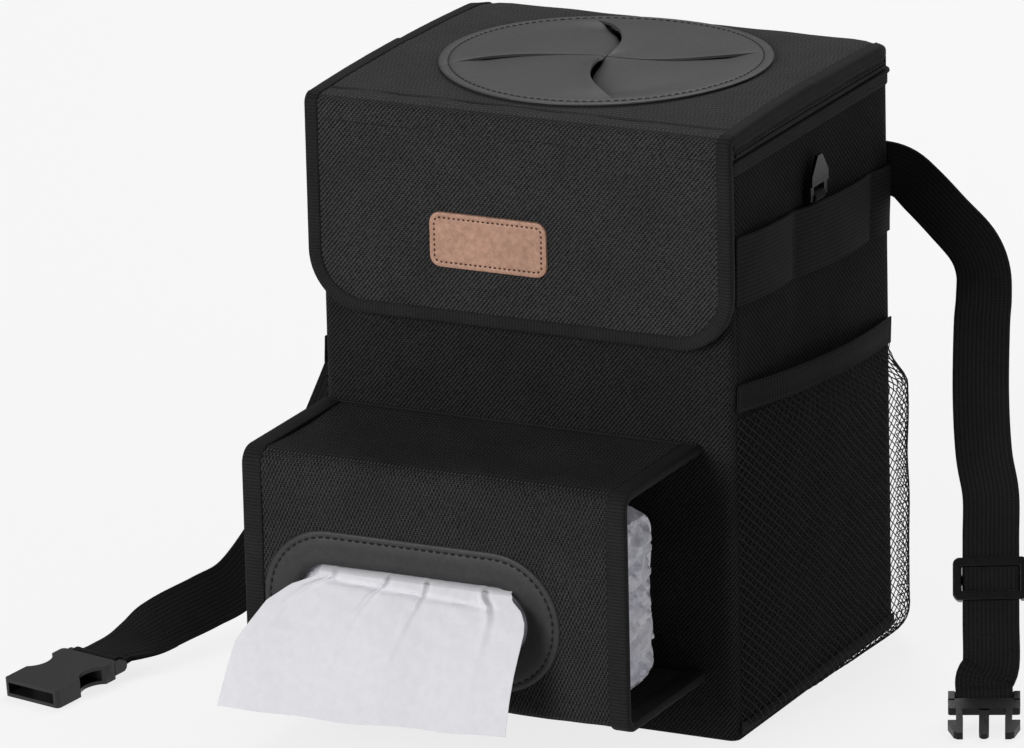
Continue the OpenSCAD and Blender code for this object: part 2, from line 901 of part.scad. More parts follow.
module hook_tab() {
    color([0.24, 0.24, 0.25])
        translate([0, hook_y + tab_w / 2, 0])
            rotate([90, 0, 0])
                linear_extrude(tab_w) {
                    translate([bar_x, hook_bar_z])
                        difference() {
                            circle(tab_in_r + tab_t);
                            circle(tab_in_r);
                        }
                    translate([hw, hook_bar_z - tab_l]) square([tab_t, tab_l]);
                    translate([hw + tab_t, hook_bar_z - tab_l])
                        square([tab_t, tab_l - 1.9]);
                }
}

module side_hook() {
    tongue_x = hw + hook_off;
    tip = hook_l - hook_cross_z - hook_cross_h;
    color([0.06, 0.06, 0.07])
        translate([0, hook_y, hook_bar_z]) {
            translate([bar_x, -hook_w / 2, 0])
                rotate([-90, 0, 0]) cylinder(r = hook_t / 2, h = hook_w);
            for (s = [-1, 1])
                translate([bar_x - hook_t / 2,
                           s * (hook_w - hook_leg_w) / 2 - hook_leg_w / 2, 0])
                    cube([hook_t, hook_leg_w, hook_cross_z + 0.5]);
            translate([bar_x - hook_t / 2, -hook_w / 2, hook_cross_z])
                cube([tongue_x + hook_t - bar_x, hook_w, hook_cross_h]);
            translate([tongue_x, 0, hook_cross_z + hook_cross_h])
                rotate([90, 0, 90])
                    linear_extrude(hook_t / 2)
                        polygon([[-hook_w / 2, -0.5], [hook_w / 2, -0.5],
                                 [hook_w / 2, 1.5], [2.2, tip], [-2.2, tip],
                                 [-hook_w / 2, 1.5]]);
        }
}

cover_x = hw - cover_l / 2 - 4;
channel_w = strap_w + 2 * strap_gap;

// Patch sewn over the end of a strap on the back
module strap_cover(s) {
    mirror([s > 0 ? 0 : 1, 0, 0])
        difference() {
            translate([cover_x - cover_l / 2, hd, strap_z - cover_h / 2])
                cube([cover_l, strap_t + cover_t, cover_h]);
            translate([cover_x - cover_l / 2 + 5, hd - 1, strap_z - channel_w / 2])
                cube([cover_l, strap_t + 1, channel_w]);
        }
}

module strap_cover_left() { color([0.15, 0.15, 0.16]) strap_cover(-1); }
module strap_cover_right() { color([0.15, 0.15, 0.16]) strap_cover(1); }

// Ways of the two straps: each row holds a point of the middle line and the
// direction that the webbing's face looks in
strap_y = hd + strap_t / 2;
strap_end_x = cover_x - cover_l / 2 + 6;
glide_mid = [175.5, 14.5, 54];
glide_step = [3.6, -8.6, -16.5];
prongs_at = [183.8, -13, 10.1];
prongs_turn = [0, 14.8, -67];
prongs_stem = [-0.251, 0.592, 0.766];
socket_at = [-202, -112, 7.8];
socket_turn = [0, 4.5, -103];
socket_stem = [0.223, 0.967, 0.12];
look_ahead = [0.24, -0.85, 0.46];

right_way = [
    [[strap_end_x, strap_y, strap_z], [0, -1, 0]],
    [[hw - 8, strap_y, strap_z], [0, -1, 0]],
    [[104, strap_y, strap_z - 1.5], [0, -1, 0]],
    [[115, 83, 205.5], [0, -1, 0.1]],
    [[128, 81, 195], [0, -1, 0.1]],
    [[140.5, 78, 185], [0.05, -0.98, 0.2]],
    [[147, 74, 175.5], [0.1, -0.93, 0.3]],
    [[150, 68, 165], [0.2, -0.88, 0.42]],
    [[151.5, 62, 153], [0.24, -0.85, 0.46]],
    [[156, 50, 126], look_ahead],
    [[162, 39, 103], look_ahead],
    [glide_mid - 2 * glide_step, look_ahead],
    [glide_mid - glide_step, look_ahead],
    [glide_mid, look_ahead],
    [glide_mid + glide_step, look_ahead],
    [glide_mid + 2 * glide_step, [0.27, -0.78, 0.55]],
    [prongs_at + 8 * prongs_stem, [0.3, -0.7, 0.64]],
    [prongs_at + 2.9 * prongs_stem, [0.3, -0.7, 0.64]]
];
left_way = [
    [[-strap_end_x, strap_y, strap_z], [0, -1, 0]],
    [[8 - hw, strap_y, strap_z], [0, -1, 0]],
    [[-103, strap_y, strap_z - 1], [0, -1, 0]],
    [[-112, 84, 204], [0, -1, 0.05]],
    [[-124, 79, 188], [0, -0.95, 0.25]],
    [[-133, 67, 167], [0, -0.9, 0.4]],
    [[-141, 50, 136], [0.1, -0.87, 0.45]],
    [[-148, 30, 101], [0.2, -0.85, 0.45]],
    [[-155, 6, 67], [0.3, -0.8, 0.5]],
    [[-161, -18, 43], [0.5, -0.65, 0.55]],
    [[-167, -42, 27], [0.7, -0.4, 0.5]],
    [[-174, -60, 22.5], [0.75, -0.35, 0.5]],
    [[-181, -76, 19.5], [0.7, -0.35, 0.6]],
    [[-187, -86.5, 16.2], [0.55, -0.3, 0.75]],
    [[-194, -94, 12], [0.25, -0.15, 0.95]],
    [socket_at + 12 * socket_stem, [0, -0.1, 1]],
    [socket_at + 7 * socket_stem, [0, -0.12, 1]],
    [socket_at + 2.9 * socket_stem, [0, -0.12, 1]]
];
way_steps = 3;
sewn_rings = 5;

function unit(v) = v / norm(v);

function bend_mix(a, b, c, d, u) =
    0.5 * (2 * b + (c - a) * u + (2 * a - 5 * b + 4 * c - d) * u * u
           + (3 * b - a - 3 * c + d) * u * u * u);

function way_at(way, col, k, u) =
    let (n = len(way) - 1)
    bend_mix(way[max(k - 1, 0)][col], way[k][col],
             way[min(k + 1, n)][col], way[min(k + 2, n)][col], u);

function way_rings(way, col) = [
    for (k = [0:len(way) - 2])
        for (j = [0:way_steps - 1])
            way_at(way, col, k, j / way_steps),
    way[len(way) - 1][col]
];

function way_run(points, i) =
    unit(points[min(i + 1, len(points) - 1)] - points[max(i - 1, 0)]);

// Outline of the webbing with softened corners
function webbing_section(t) =
    let (a = strap_w / 2, b = t / 2, c = 0.4)
    [[a, -b + c], [a, b - c], [a - c, b], [-a + c, b],
     [-a, b - c], [-a, -b + c], [-a + c, -b], [a - c, -b]];

// Flat webbing that follows a way; its last stretch is sewn double
module webbing(way) {
    mids = way_rings(way, 0);
    looks = way_rings(way, 1);
    n = len(mids);
    points = [
        for (i = [0:n - 1])
            let (run = way_run(mids, i),
                 across = unit(cross(looks[i], run)),
                 out = cross(run, across),
                 t = i >= n - sewn_rings ? 2 * strap_t - 0.2 : strap_t)
            for (q = webbing_section(t)) mids[i] + q[0] * across + q[1] * out
    ];
    sides = [
        for (i = [0:n - 2])
            for (k = [0:7])
                let (a = 8 * i + k, b = 8 * i + (k + 1) % 8)
                for (f = [[a, a + 8, b + 8], [a, b + 8, b]]) f
    ];
    caps = [[for (k = [0:7]) k], [for (k = [7:-1:0]) 8 * (n - 1) + k]];
    polyhedron(points, concat(sides, caps), convexity = 10);
}

// Webbing sewn round a bar
module webbing_loop(at, turn) {
    translate(at)
        rotate(turn)
            rotate([90, 0, 0])
                difference() {
                    cylinder(r = loop_in_r + strap_t, h = strap_w, center = true);
                    cylinder(r = loop_in_r, h = strap_w + 2, center = true);
                }
}

module strap_left() {
    color([0.13, 0.13, 0.14]) {
        webbing(left_way);
        webbing_loop(socket_at, socket_turn);
    }
}

module strap_right() {
    color([0.13, 0.13, 0.14]) {
        webbing(right_way);
        webbing_loop(prongs_at, prongs_turn);
    }
}

buckle_w = channel_w + 5.8;
buckle_x = loop_in_r + strap_t + 0.6;

// Bar with a cheek at each end, about the origin
module buckle_bar(reach, thick) {
    rotate([90, 0, 0]) cylinder(r = bar_r, h = buckle_w, center = true);
    for (s = [-1, 1])
        translate([0, s * (channel_w / 2 + buckle_w / 2) / 2, 0]) {
            rotate([90, 0, 0])
                cylinder(r = thick / 2, h = (buckle_w - channel_w) / 2, center = true);
            translate([reach / 2, 0, 0])
                cube([reach, (buckle_w - channel_w) / 2, thick], center = true);
        }
}

module buckle_socket() {
    waist_r = 10;
    waist_x = buckle_x + 16;
    bore = socket_h - 2 * socket_wall;
    color([0.09, 0.09, 0.10])
        translate(socket_at)
            rotate(socket_turn) {
                buckle_bar(buckle_x + 1, 5.2);
                difference() {
                    translate([buckle_x, 0, -socket_h / 2])
                        linear_extrude(socket_h)
                            difference() {
                                translate([(socket_l - buckle_x) / 2, 0])
                                    round_rect(socket_l - buckle_x, buckle_w, 2);
                                for (s = [-1, 1])
                                    translate([waist_x - buckle_x,
                                               s * (buckle_w / 2 + waist_r - 4.6)])
                                        circle(waist_r);
                            }
                    translate([buckle_x + 10, 0, 0])
                        translate([0, -buckle_w / 2 + 2.6, -bore / 2])
                            cube([socket_l, buckle_w - 5.2, bore]);
                    translate([buckle_x + 8.6, -buckle_w, -bore / 2])
                        cube([15.4, 2 * buckle_w, bore]);
                }
            }
}

module buckle_prongs() {
    base_l = 8;
    arm_y = buckle_w / 2 - 6.2;
    head_x = prong_l - 10;
    color([0.09, 0.09, 0.10])
        translate(prongs_at)
            rotate(prongs_turn) {
                buckle_bar(buckle_x + 1, prong_t + 0.8);
                translate([buckle_x, 0, -prong_t / 2])
                    linear_extrude(prong_t)
                        translate([base_l / 2, 0]) round_rect(base_l, buckle_w, 1.2);
                translate([buckle_x + base_l - 1, 0, -prong_t / 2 + 0.6])
                    linear_extrude(prong_t - 1.2) {
                        translate([0, -2.2])
                            square([prong_l - buckle_x - base_l - 0.5, 4.4]);
                        translate([prong_l - buckle_x - base_l - 0.5, 0]) circle(2.2);
                    }
                for (s = [-1, 1])
                    translate([0, 0, -prong_t / 2])
                        linear_extrude(prong_t)
                            polygon([[buckle_x + base_l - 1, s * arm_y],
                                     [buckle_x + base_l - 1, s * (arm_y + 2.8)],
                                     [head_x, s * (arm_y + 2.6)],
                                     [head_x, s * (arm_y + 6.2)],
                                     [head_x + 3, s * (arm_y + 6.2)],
                                     [prong_l - 1, s * (arm_y + 3.6)],
                                     [prong_l, s * (arm_y + 2)],
                                     [prong_l, s * (arm_y - 0.4)],
                                     [head_x - 1, s * (arm_y - 0.4)]]);
            }
}

// Sliding adjuster: two bars in front of the webbing and one behind it
glide_run = unit(glide_step);
glide_across = unit(cross(look_ahead, glide_run));
glide_out = cross(glide_run, glide_across);
glide_turn = [
    atan2(glide_out[2], glide_run[2]),
    -asin(glide_across[2]),
    atan2(glide_across[1], glide_across[0])
];

module strap_adjuster() {
    w = channel_w + 7.4;
    slot = strap_t / 2 + strap_gap;
    deep = slot + glide_t;
    color([0.09, 0.09, 0.10])
        translate(glide_mid)
            rotate(glide_turn)
                difference() {
                    rotate([90, 0, 0])
                        linear_extrude(2 * deep, center = true)
                            round_rect(w, glide_l, 3);
                    cube([channel_w, 2 * slot, glide_l + 2], center = true);
                    translate([0, deep, 0])
                        cube([channel_w, 2 * (deep + slot), glide_l - 8], center = true);
                    for (s = [-1, 1])
                        translate([0, -deep, s * (2 + glide_l / 2)])
                            cube([channel_w, 2 * (deep + slot), glide_l], center = true);
                }
}

front_panel();
back_panel();
side_panel_left();
side_panel_right();
base_panel();
front_board();
back_board();
side_board_left();
side_board_right();
base_board();
inner_liner();
rim_binding();
lid_panel();
lid_gusset_left();
lid_gusset_right();
lid_board();
lid_lining();
lid_binding_left();
lid_binding_right();
swirl_disc();
flap_panel();
flap_board();
flap_lining();
flap_binding();
leather_patch();
flap_hook_strip();
front_loop_strip();
holder_strip();
holder_binding_left();
holder_binding_right();
window_surround();
tissue_pack();
tissue_sheet();
webbing_band_left();
webbing_band_right();
pocket_mesh_left();
pocket_mesh_right();
pocket_elastic_left();
pocket_elastic_right();
hook_tab();
side_hook();
strap_cover_left();
strap_cover_right();
strap_left();
strap_right();
strap_adjuster();
buckle_socket();
buckle_prongs();
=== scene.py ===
"""Looks of the car litter bin and organizer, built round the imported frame.

Lengths in this script are millimetres; meshes are written in metres."""

import math

import bpy
import bmesh
import numpy as np
from mathutils import Matrix, Vector


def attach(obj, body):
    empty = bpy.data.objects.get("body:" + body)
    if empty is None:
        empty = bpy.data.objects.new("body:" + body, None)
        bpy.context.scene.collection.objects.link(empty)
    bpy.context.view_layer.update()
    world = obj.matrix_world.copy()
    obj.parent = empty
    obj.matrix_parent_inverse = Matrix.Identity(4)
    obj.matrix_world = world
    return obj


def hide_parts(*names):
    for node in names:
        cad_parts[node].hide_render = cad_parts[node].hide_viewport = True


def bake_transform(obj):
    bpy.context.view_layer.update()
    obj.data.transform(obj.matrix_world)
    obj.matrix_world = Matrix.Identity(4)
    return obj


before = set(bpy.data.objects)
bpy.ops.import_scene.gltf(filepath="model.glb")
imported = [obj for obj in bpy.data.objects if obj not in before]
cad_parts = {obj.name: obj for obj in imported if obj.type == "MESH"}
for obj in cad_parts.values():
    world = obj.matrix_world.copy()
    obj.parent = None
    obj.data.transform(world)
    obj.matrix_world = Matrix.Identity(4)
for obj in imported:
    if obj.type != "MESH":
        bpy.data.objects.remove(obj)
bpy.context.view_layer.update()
MM = 0.001
COL = bpy.context.scene.collection
SIDES = ((-1, "left"), (1, "right"))
UP, DOWN, FRONT, BACK = (0, 0, 1), (0, 0, -1), (0, -1, 0), (0, 1, 0)

# Measures shared with the part's source
# Box: half width, half depth, corner radius, height
HW, HD, WALL_R, BODY_H = 98.5, 84.0, 5.0, 261.0
# Lid: foot, top, half width, front edge, back face, radius of the bend at the back
LID_Z, LID_TOP, LID_HW, LID_FRONT, LID_BACK, LID_BACK_R = 262.2, 272.8, 100.7, -84.9, 84.9, 6.0
FLAT_BACK = LID_BACK - LID_BACK_R
TAPE_T = 0.9
# Disc: radius, thickness, place of its middle
DISC_R, DISC_T, DISC_Y = 73.5, 1.6, 2.0
# Fold between lid and flap: axis and radius
FOLD_Y, FOLD_Z, ROLL_R = -85.2, 268.6, 4.2
# Flap: front face, back face, lower edge, corner radius
FLAP_FRONT, FLAP_BACK, FLAP_Z0, FLAP_R = -89.4, -86.2, 177.4, 26.0
# Leather patch: middle, width, height, corner radius
PATCH_X, PATCH_Z, PATCH_W, PATCH_H, PATCH_R = -13.6, 214.5, 56.0, 24.6, 5.0
# Hook and loop strips: middle, half width, half height
STRIP_Z, STRIP_HW, STRIP_HH = 196.1, 30.0, 10.0
# Tissue holder: left end, right end, front face, bottom, top, corner radius
HOLD_L, HOLD_RT, HOLD_Y, HOLD_B, HOLD_T, HOLD_R = -98.5, 82.5, -161.0, 27.0, 133.0, 7.0
# Window: middle, half length of its straight part, end radius, width of the surround
WIN_X, WIN_Z, WIN_HALF, WIN_R, WIN_BAND = -19.0, 69.5, 39.25, 16.0, 15.5
# Side webbing and the pocket's mouth: height at the middle and slope in degrees
BAND_Z, BAND_SLOPE, MOUTH_Z, MOUTH_SLOPE = 206.7, 3.5, 147.8, 5.0
# Straps: height and distance of the cover patches, place of the webbing behind the wall
COVER_X, COVER_Z, STRAP_Y = 78.5, 214.0, HD + 0.8


# Numbers

def points(*parts):
    """Coordinates side by side, each an array or one number for all."""
    return np.stack(np.broadcast_arrays(*(np.asarray(p, float) for p in parts)), -1)


def grid(u, v):
    """Two arrays over rows u and columns v."""
    return np.meshgrid(u, v, indexing="ij")


def waves(u, v, size, seed, parts=7):
    """A smooth uneven field between about -1 and 1, with hollows about size mm across."""
    rng = np.random.RandomState(seed)
    total = 0
    for _ in range(parts):
        turn = rng.uniform(0, 2 * math.pi)
        length = size * rng.uniform(0.6, 1.7)
        phase = rng.uniform(0, 2 * math.pi)
        total = total + np.sin(2 * math.pi * (u * math.cos(turn) + v * math.sin(turn)) / length + phase)
    return total / math.sqrt(parts * 2.0)


def smooth(a, b, x):
    """From 0 at a to 1 at b, level at both ends."""
    t = np.clip((np.asarray(x, float) - a) / (b - a), 0, 1)
    return t * t * (3 - 2 * t)


def spaced(a, b, step, edge=0.5):
    """Places from a to b, with one close to each end for a soft edge."""
    n = max(2, int(round((b - a) / step)) + 1)
    return np.concatenate([[a], np.linspace(a + edge, b - edge, n), [b]])


def unit(v):
    """Vectors of length one."""
    v = np.asarray(v, float)
    return v / np.maximum(np.linalg.norm(v, axis=-1, keepdims=True), 1e-9)


def normals_of(P):
    """Directions square to a sheet given as a grid of points."""
    return unit(np.cross(np.gradient(P, axis=0), np.gradient(P, axis=1)))


def facing(P, axis, sign):
    """The normals of a sheet, turned so that all point to one side of an axis."""
    N = normals_of(P)
    return N * np.sign(N[..., axis:axis + 1] * sign)


def arc_len(path):
    """Length along a path up to each of its points."""
    return np.concatenate([[0], np.cumsum(np.linalg.norm(np.diff(path, axis=0), axis=1))])


def resample(path, count):
    """The path with evenly spaced points."""
    s = arc_len(path)
    at = np.linspace(0, s[-1], count)
    return points(*(np.interp(at, s, column) for column in path.T))


def circle(wide, high=None, step=45):
    """A round or oval section, one point every few degrees."""
    a = np.radians(np.arange(0, 360, step))
    return points(wide * np.cos(a), (high or wide) * np.sin(a))


def round_outline(w, d, r, arc=8, run=4.0):
    """Points and outward directions round a rectangle with round corners, counter-clockwise."""
    a = np.radians([start + 90 * k / arc for start in (0, 90, 180, 270) for k in range(arc + 1)])
    nrm = points(np.cos(a), np.sin(a))
    corners = np.array([(1, 1), (-1, 1), (-1, -1), (1, -1)]) * [w / 2 - r, d / 2 - r]
    pts = np.repeat(corners, arc + 1, 0) + r * nrm
    out, out_nrm = [], []
    for p, q, m, n in zip(pts, np.roll(pts, -1, 0), nrm, np.roll(nrm, -1, 0)):
        steps = max(1, int(np.linalg.norm(q - p) / run))
        for f in np.arange(steps) / steps:
            out.append(p + (q - p) * f)
            out_nrm.append(unit(m * (1 - f) + n * f))
    return np.array(out), np.array(out_nrm)


# Materials

class Shade:
    """Wires one Principled material."""

    def __init__(self, name, rough=0.8, spec=0.3, sheen=None):
        self.mat = bpy.data.materials.new(name)
        self.mat.use_nodes = True
        self.tree = self.mat.node_tree
        self.tree.nodes.clear()
        self.out = self.new("ShaderNodeOutputMaterial")
        self.bsdf = self.new("ShaderNodeBsdfPrincipled")
        self.link(self.bsdf.outputs[0], self.out.inputs[0])
        self.bsdf.inputs["Roughness"].default_value = rough
        self.bsdf.inputs["Specular IOR Level"].default_value = spec
        if sheen is not None:
            self.bsdf.inputs["Sheen Weight"].default_value = sheen
        coord = self.new("ShaderNodeTexCoord")
        self.uv, self.obj, self.normal = (coord.outputs[k] for k in ("UV", "Object", "Normal"))

    def new(self, kind, **settings):
        node = self.tree.nodes.new(kind)
        for key, value in settings.items():
            setattr(node, key, value)
        return node

    def link(self, a, b):
        self.tree.links.new(a, b)

    def put(self, value, socket):
        if hasattr(value, "is_output"):
            self.link(value, socket)
        else:
            socket.default_value = value

    def math(self, op, a, b=0.0, c=0.0):
        node = self.new("ShaderNodeMath", operation=op)
        for value, socket in zip((a, b, c), node.inputs):
            self.put(value, socket)
        return node.outputs[0]

    def split(self, vector):
        node = self.new("ShaderNodeSeparateXYZ")
        self.link(vector, node.inputs[0])
        return node.outputs[:]

    def field(self, kind, per_mm, **inputs):
        """A texture over the object's own coordinates."""
        node = self.new(kind)
        self.link(self.obj, node.inputs["Vector"])
        node.inputs["Scale"].default_value = per_mm * 1000
        for key, value in inputs.items():
            node.inputs[key].default_value = value
        return node

    def noise(self, per_mm, detail=3.0, rough=0.55):
        return self.field("ShaderNodeTexNoise", per_mm, Detail=detail, Roughness=rough).outputs["Fac"]

    def cells(self, per_mm):
        return self.field("ShaderNodeTexVoronoi", per_mm).outputs["Distance"]

    def sine(self, value, period_mm, phase=0.0):
        """Between 0 and 1 along a length given in metres."""
        s = self.math("MULTIPLY_ADD", value, 2 * math.pi * 1000 / period_mm, phase)
        return self.math("MULTIPLY_ADD", self.math("SINE", s), 0.5, 0.5)

    def ramp(self, fac, low, high, a=0.0, b=1.0):
        node = self.new("ShaderNodeValToRGB")
        for element, place, colour in zip(node.color_ramp.elements, (a, b), (low, high)):
            element.position = place
            element.color = (*colour, 1)
        self.link(fac, node.inputs[0])
        return node.outputs[0]

    def tint(self, colour, fac, low, high):
        """The colour made darker or lighter by a field."""
        node = self.new("ShaderNodeMix", data_type="RGBA", blend_type="MULTIPLY")
        node.inputs[0].default_value = 1.0
        self.link(colour, node.inputs[6])
        self.link(self.ramp(fac, (low,) * 3, (high,) * 3, 0.25, 0.75), node.inputs[7])
        return node.outputs[2]

    def bump(self, height, depth_mm, strength=1.0, below=None):
        node = self.new("ShaderNodeBump")
        node.inputs["Strength"].default_value = strength
        node.inputs["Distance"].default_value = depth_mm * MM
        self.link(height, node.inputs["Height"])
        if below is not None:
            self.link(below, node.inputs["Normal"])
        return node.outputs[0]

    def done(self, colour, normal, rough=None):
        self.link(colour, self.bsdf.inputs["Base Color"])
        self.link(normal, self.bsdf.inputs["Normal"])
        if rough is not None:
            self.link(rough, self.bsdf.inputs["Roughness"])
        return self.mat


def cloth(name, dark, light, twill=1.5, depth=0.2, spec=0.10, sheen=0.01, turn=50.0, cross=0.0):
    """Fine diagonal weave, crossed by a second one, with uneven dye."""
    s = Shade(name, 0.88, spec, sheen)
    u, v = s.split(s.uv)[:2]
    # the weave of a face that looks up is drawn out from front to back
    up = s.split(s.normal)[2]
    v = s.math("MULTIPLY", v, s.math("MULTIPLY_ADD", s.math("GREATER_THAN", up, 0.85), -0.65, 1.0))
    a = math.radians(turn)
    along, over = s.math("MULTIPLY", u, math.sin(a)), s.math("MULTIPLY", v, math.cos(a))
    line = s.sine(s.math("SUBTRACT", along, over), twill)
    if cross:
        second = s.sine(s.math("ADD", along, over), twill)
        line = s.math("MULTIPLY_ADD", second, cross / (1 + cross), s.math("MULTIPLY", line, 1 / (1 + cross)))
    yarn = s.sine(v, twill * 0.62)
    height = s.math("MULTIPLY", line, s.math("MULTIPLY_ADD", yarn, 0.6, 0.45))
    fac = s.math("MULTIPLY_ADD", s.noise(1.1, 2.0), 0.7, s.math("MULTIPLY_ADD", height, 0.8, -0.25))
    colour = s.tint(s.ramp(fac, dark, light, 0.1, 0.9), s.noise(0.035), 0.82, 1.14)
    return s.done(colour, s.bump(height, depth, 0.7, s.bump(s.noise(0.09, 2.0), 0.5, 0.3)))


def ribbed(name, dark, light, rib, yarn, across=True, depth=0.2):
    """Webbing or tape: ribs one way, finer yarns the other."""
    s = Shade(name, 0.8, 0.10, 0.01)
    u, v = s.split(s.uv)[:2]
    if not across:
        u, v = v, u
    ribs = s.math("MULTIPLY", s.sine(v, rib), 0.65)
    height = s.math("MULTIPLY_ADD", s.sine(u, yarn, 1.0), 0.35, ribs)
    fac = s.math("MULTIPLY_ADD", s.noise(1.2, 2.0), 0.55, s.math("MULTIPLY_ADD", height, 0.6, -0.1))
    colour = s.tint(s.ramp(fac, dark, light), s.noise(0.05), 0.82, 1.15)
    return s.done(colour, s.bump(height, depth, 0.7, s.bump(s.noise(0.12, 2.0), 0.4, 0.3)))


def plastic(name, dark, light, rough, spec):
    """Moulded plastic with a fine grain."""
    s = Shade(name, rough, spec)
    colour = s.tint(s.ramp(s.noise(0.5, 4.0), dark, light), s.noise(0.08), 0.9, 1.1)
    shine = s.math("MULTIPLY_ADD", s.noise(0.6), 0.16, rough - 0.08)
    return s.done(colour, s.bump(s.noise(4.0, 2.0), 0.03, 0.5), shine)


def leather(name, dark, light, grain, rough, depth, spec):
    """Leather or leatherette with a pebbled grain."""
    s = Shade(name, rough, spec)
    cell = s.cells(grain)
    colour = s.tint(s.ramp(s.noise(0.35, 5.0, 0.6), dark, light, 0.25, 0.75), cell, 1.06, 0.94)
    colour = s.tint(colour, s.noise(0.06, 2.0), 0.93, 1.06)
    normal = s.bump(cell, depth, 0.6, s.bump(s.noise(0.25), 0.12, 0.4))
    return s.done(colour, normal, s.math("MULTIPLY_ADD", s.noise(0.8), 0.18, rough - 0.09))


def thread(name, dark, light):
    """Twisted sewing thread."""
    s = Shade(name, 0.7, 0.3)
    return s.done(s.ramp(s.noise(2.0, 2.0), dark, light), s.bump(s.sine(s.split(s.obj)[0], 0.5), 0.05, 0.5))


def net_yarn():
    """Dull thin yarn."""
    s = Shade("net_yarn", 0.75, 0.12)
    return s.done(s.ramp(s.noise(0.8, 2.0), (0.009, 0.009, 0.0095), (0.034, 0.034, 0.035)),
                  s.bump(s.noise(3.0, 1.0), 0.05, 0.5))


def disc_rubber():
    """Soft rubber with slight waves."""
    s = Shade("disc_rubber", 0.5, 0.25)
    colour = s.tint(s.ramp(s.noise(0.7), (0.050, 0.050, 0.051), (0.066, 0.066, 0.067)),
                    s.noise(0.02, 2.0), 0.9, 1.1)
    normal = s.bump(s.noise(3.0, 2.0), 0.03, 0.45, s.bump(s.noise(0.06, 2.0), 0.4, 0.35))
    return s.done(colour, normal, s.math("MULTIPLY_ADD", s.noise(0.3), 0.2, 0.38))


def pack_film():
    """Crinkled pale film."""
    s = Shade("pack_film", 0.32, 0.5)
    colour = s.ramp(s.noise(0.05, 4.0), (0.58, 0.58, 0.68), (0.84, 0.84, 0.88), 0.3, 0.7)
    return s.done(colour, s.bump(s.cells(0.13), 2.2, 0.8, s.bump(s.noise(0.35, 4.0), 0.9, 0.7)))


def tissue_paper():
    """Soft embossed paper."""
    s = Shade("tissue_paper", 0.92, 0.1)
    colour = s.ramp(s.noise(0.25, 5.0), (0.735, 0.727, 0.765), (0.775, 0.768, 0.80), 0.3, 0.7)
    return s.done(colour, s.bump(s.cells(0.8), 0.10, 0.4, s.bump(s.noise(0.12, 4.0), 0.35, 0.4)))


def grey_board():
    """Stiff grey board inside the cloth."""
    s = Shade("board", 0.85, 0.2)
    colour = s.ramp(s.noise(1.1, 5.0), (0.46, 0.45, 0.40), (0.60, 0.59, 0.54))
    colour = s.tint(colour, s.noise(0.05), 0.9, 1.08)
    return s.done(colour, s.bump(s.noise(2.0, 4.0), 0.06, 0.5))


def liner_film():
    """Waterproof lining."""
    s = Shade("liner_film", 0.5, 0.45)
    colour = s.tint(s.ramp(s.noise(0.4), (0.13, 0.135, 0.145), (0.19, 0.195, 0.205)), s.noise(0.03), 0.9, 1.1)
    return s.done(colour, s.bump(s.cells(1.2), 0.06, 0.4, s.bump(s.noise(0.05), 1.0, 0.4)))


def hook_and_loop():
    """Closure strip."""
    s = Shade("hook_and_loop", 0.95, 0.1, 0.2)
    colour = s.ramp(s.cells(1.6), (0.035, 0.035, 0.036), (0.008, 0.008, 0.008))
    return s.done(colour, s.bump(s.cells(1.6), 0.5, 0.9))


OXFORD = cloth("oxford_cloth", (0.0020, 0.0020, 0.0022), (0.062, 0.062, 0.0635), spec=0.14, sheen=0.03,
               cross=0.25)
# the front cloth again, painted darker: painted shade that the flap casts on the front wall; the back wall
# and the hinge cloth take it too
SHADED_WALL = cloth("wall_cloth_painted_shade", (0.0014, 0.0014, 0.0016), (0.037, 0.037, 0.038), cross=0.25)
HOLDER = cloth("holder_cloth", (0.0012, 0.0012, 0.0014), (0.058, 0.058, 0.0595), turn=64.0, cross=0.7)
# coarser side weave; its colour is painted darker than the front cloth, as painted shade on the sides that
# face away from the lamps
COARSE_SHADED = cloth("coarse_cloth_painted_shade", (0.0010, 0.0010, 0.0012), (0.026, 0.026, 0.027), twill=1.9, depth=0.3,
               spec=0.08, sheen=0.0, turn=-44.0, cross=0.5)
LINING = cloth("lining_cloth", (0.012, 0.012, 0.013), (0.032, 0.032, 0.034), twill=0.7, depth=0.08, spec=0.14,
               sheen=0.03, turn=0)
TAPE = ribbed("edge_tape", (0.0045, 0.0045, 0.0048), (0.027, 0.027, 0.0275), 1.5, 0.8, across=False,
              depth=0.10)
WEB = ribbed("webbing", (0.0015, 0.0015, 0.0017), (0.019, 0.019, 0.0195), 1.9, 1.1)
ELASTIC = ribbed("elastic", (0.003, 0.003, 0.0033), (0.019, 0.019, 0.0195), 1.3, 0.9, across=False)
PLASTIC = plastic("moulded_plastic", (0.0012, 0.0012, 0.0014), (0.004, 0.004, 0.0043), 0.3, 0.22)
# the same black plastic as the other moulded parts, painted lighter as a painted highlight on the socket's
# top plate; its lower roughness and higher specular are the real satin surface
SATIN_HIGHLIT = plastic("satin_plastic_painted_highlight", (0.006, 0.006, 0.0063), (0.014, 0.014, 0.0145), 0.4, 0.4)
NET, DISC, FILM, TISSUE = net_yarn(), disc_rubber(), pack_film(), tissue_paper()
BOARD, LINER, HOOKS = grey_board(), liner_film(), hook_and_loop()
LEATHER = leather("tan_leather", (0.31, 0.165, 0.108), (0.50, 0.29, 0.205), 1.3, 0.55, 0.09, 0.4)
VINYL = leather("leatherette", (0.024, 0.024, 0.025), (0.036, 0.036, 0.0375), 1.1, 0.5, 0.06, 0.28)
THREAD = thread("black_thread", (0.002, 0.002, 0.002), (0.008, 0.008, 0.008))
BROWN = thread("brown_thread", (0.035, 0.013, 0.010), (0.07, 0.03, 0.022))


# Meshes

def quads(index):
    """One face for each cell of a grid of point numbers."""
    return np.stack([index[:-1, :-1], index[1:, :-1], index[1:, 1:], index[:-1, 1:]], -1).reshape(-1, 4)


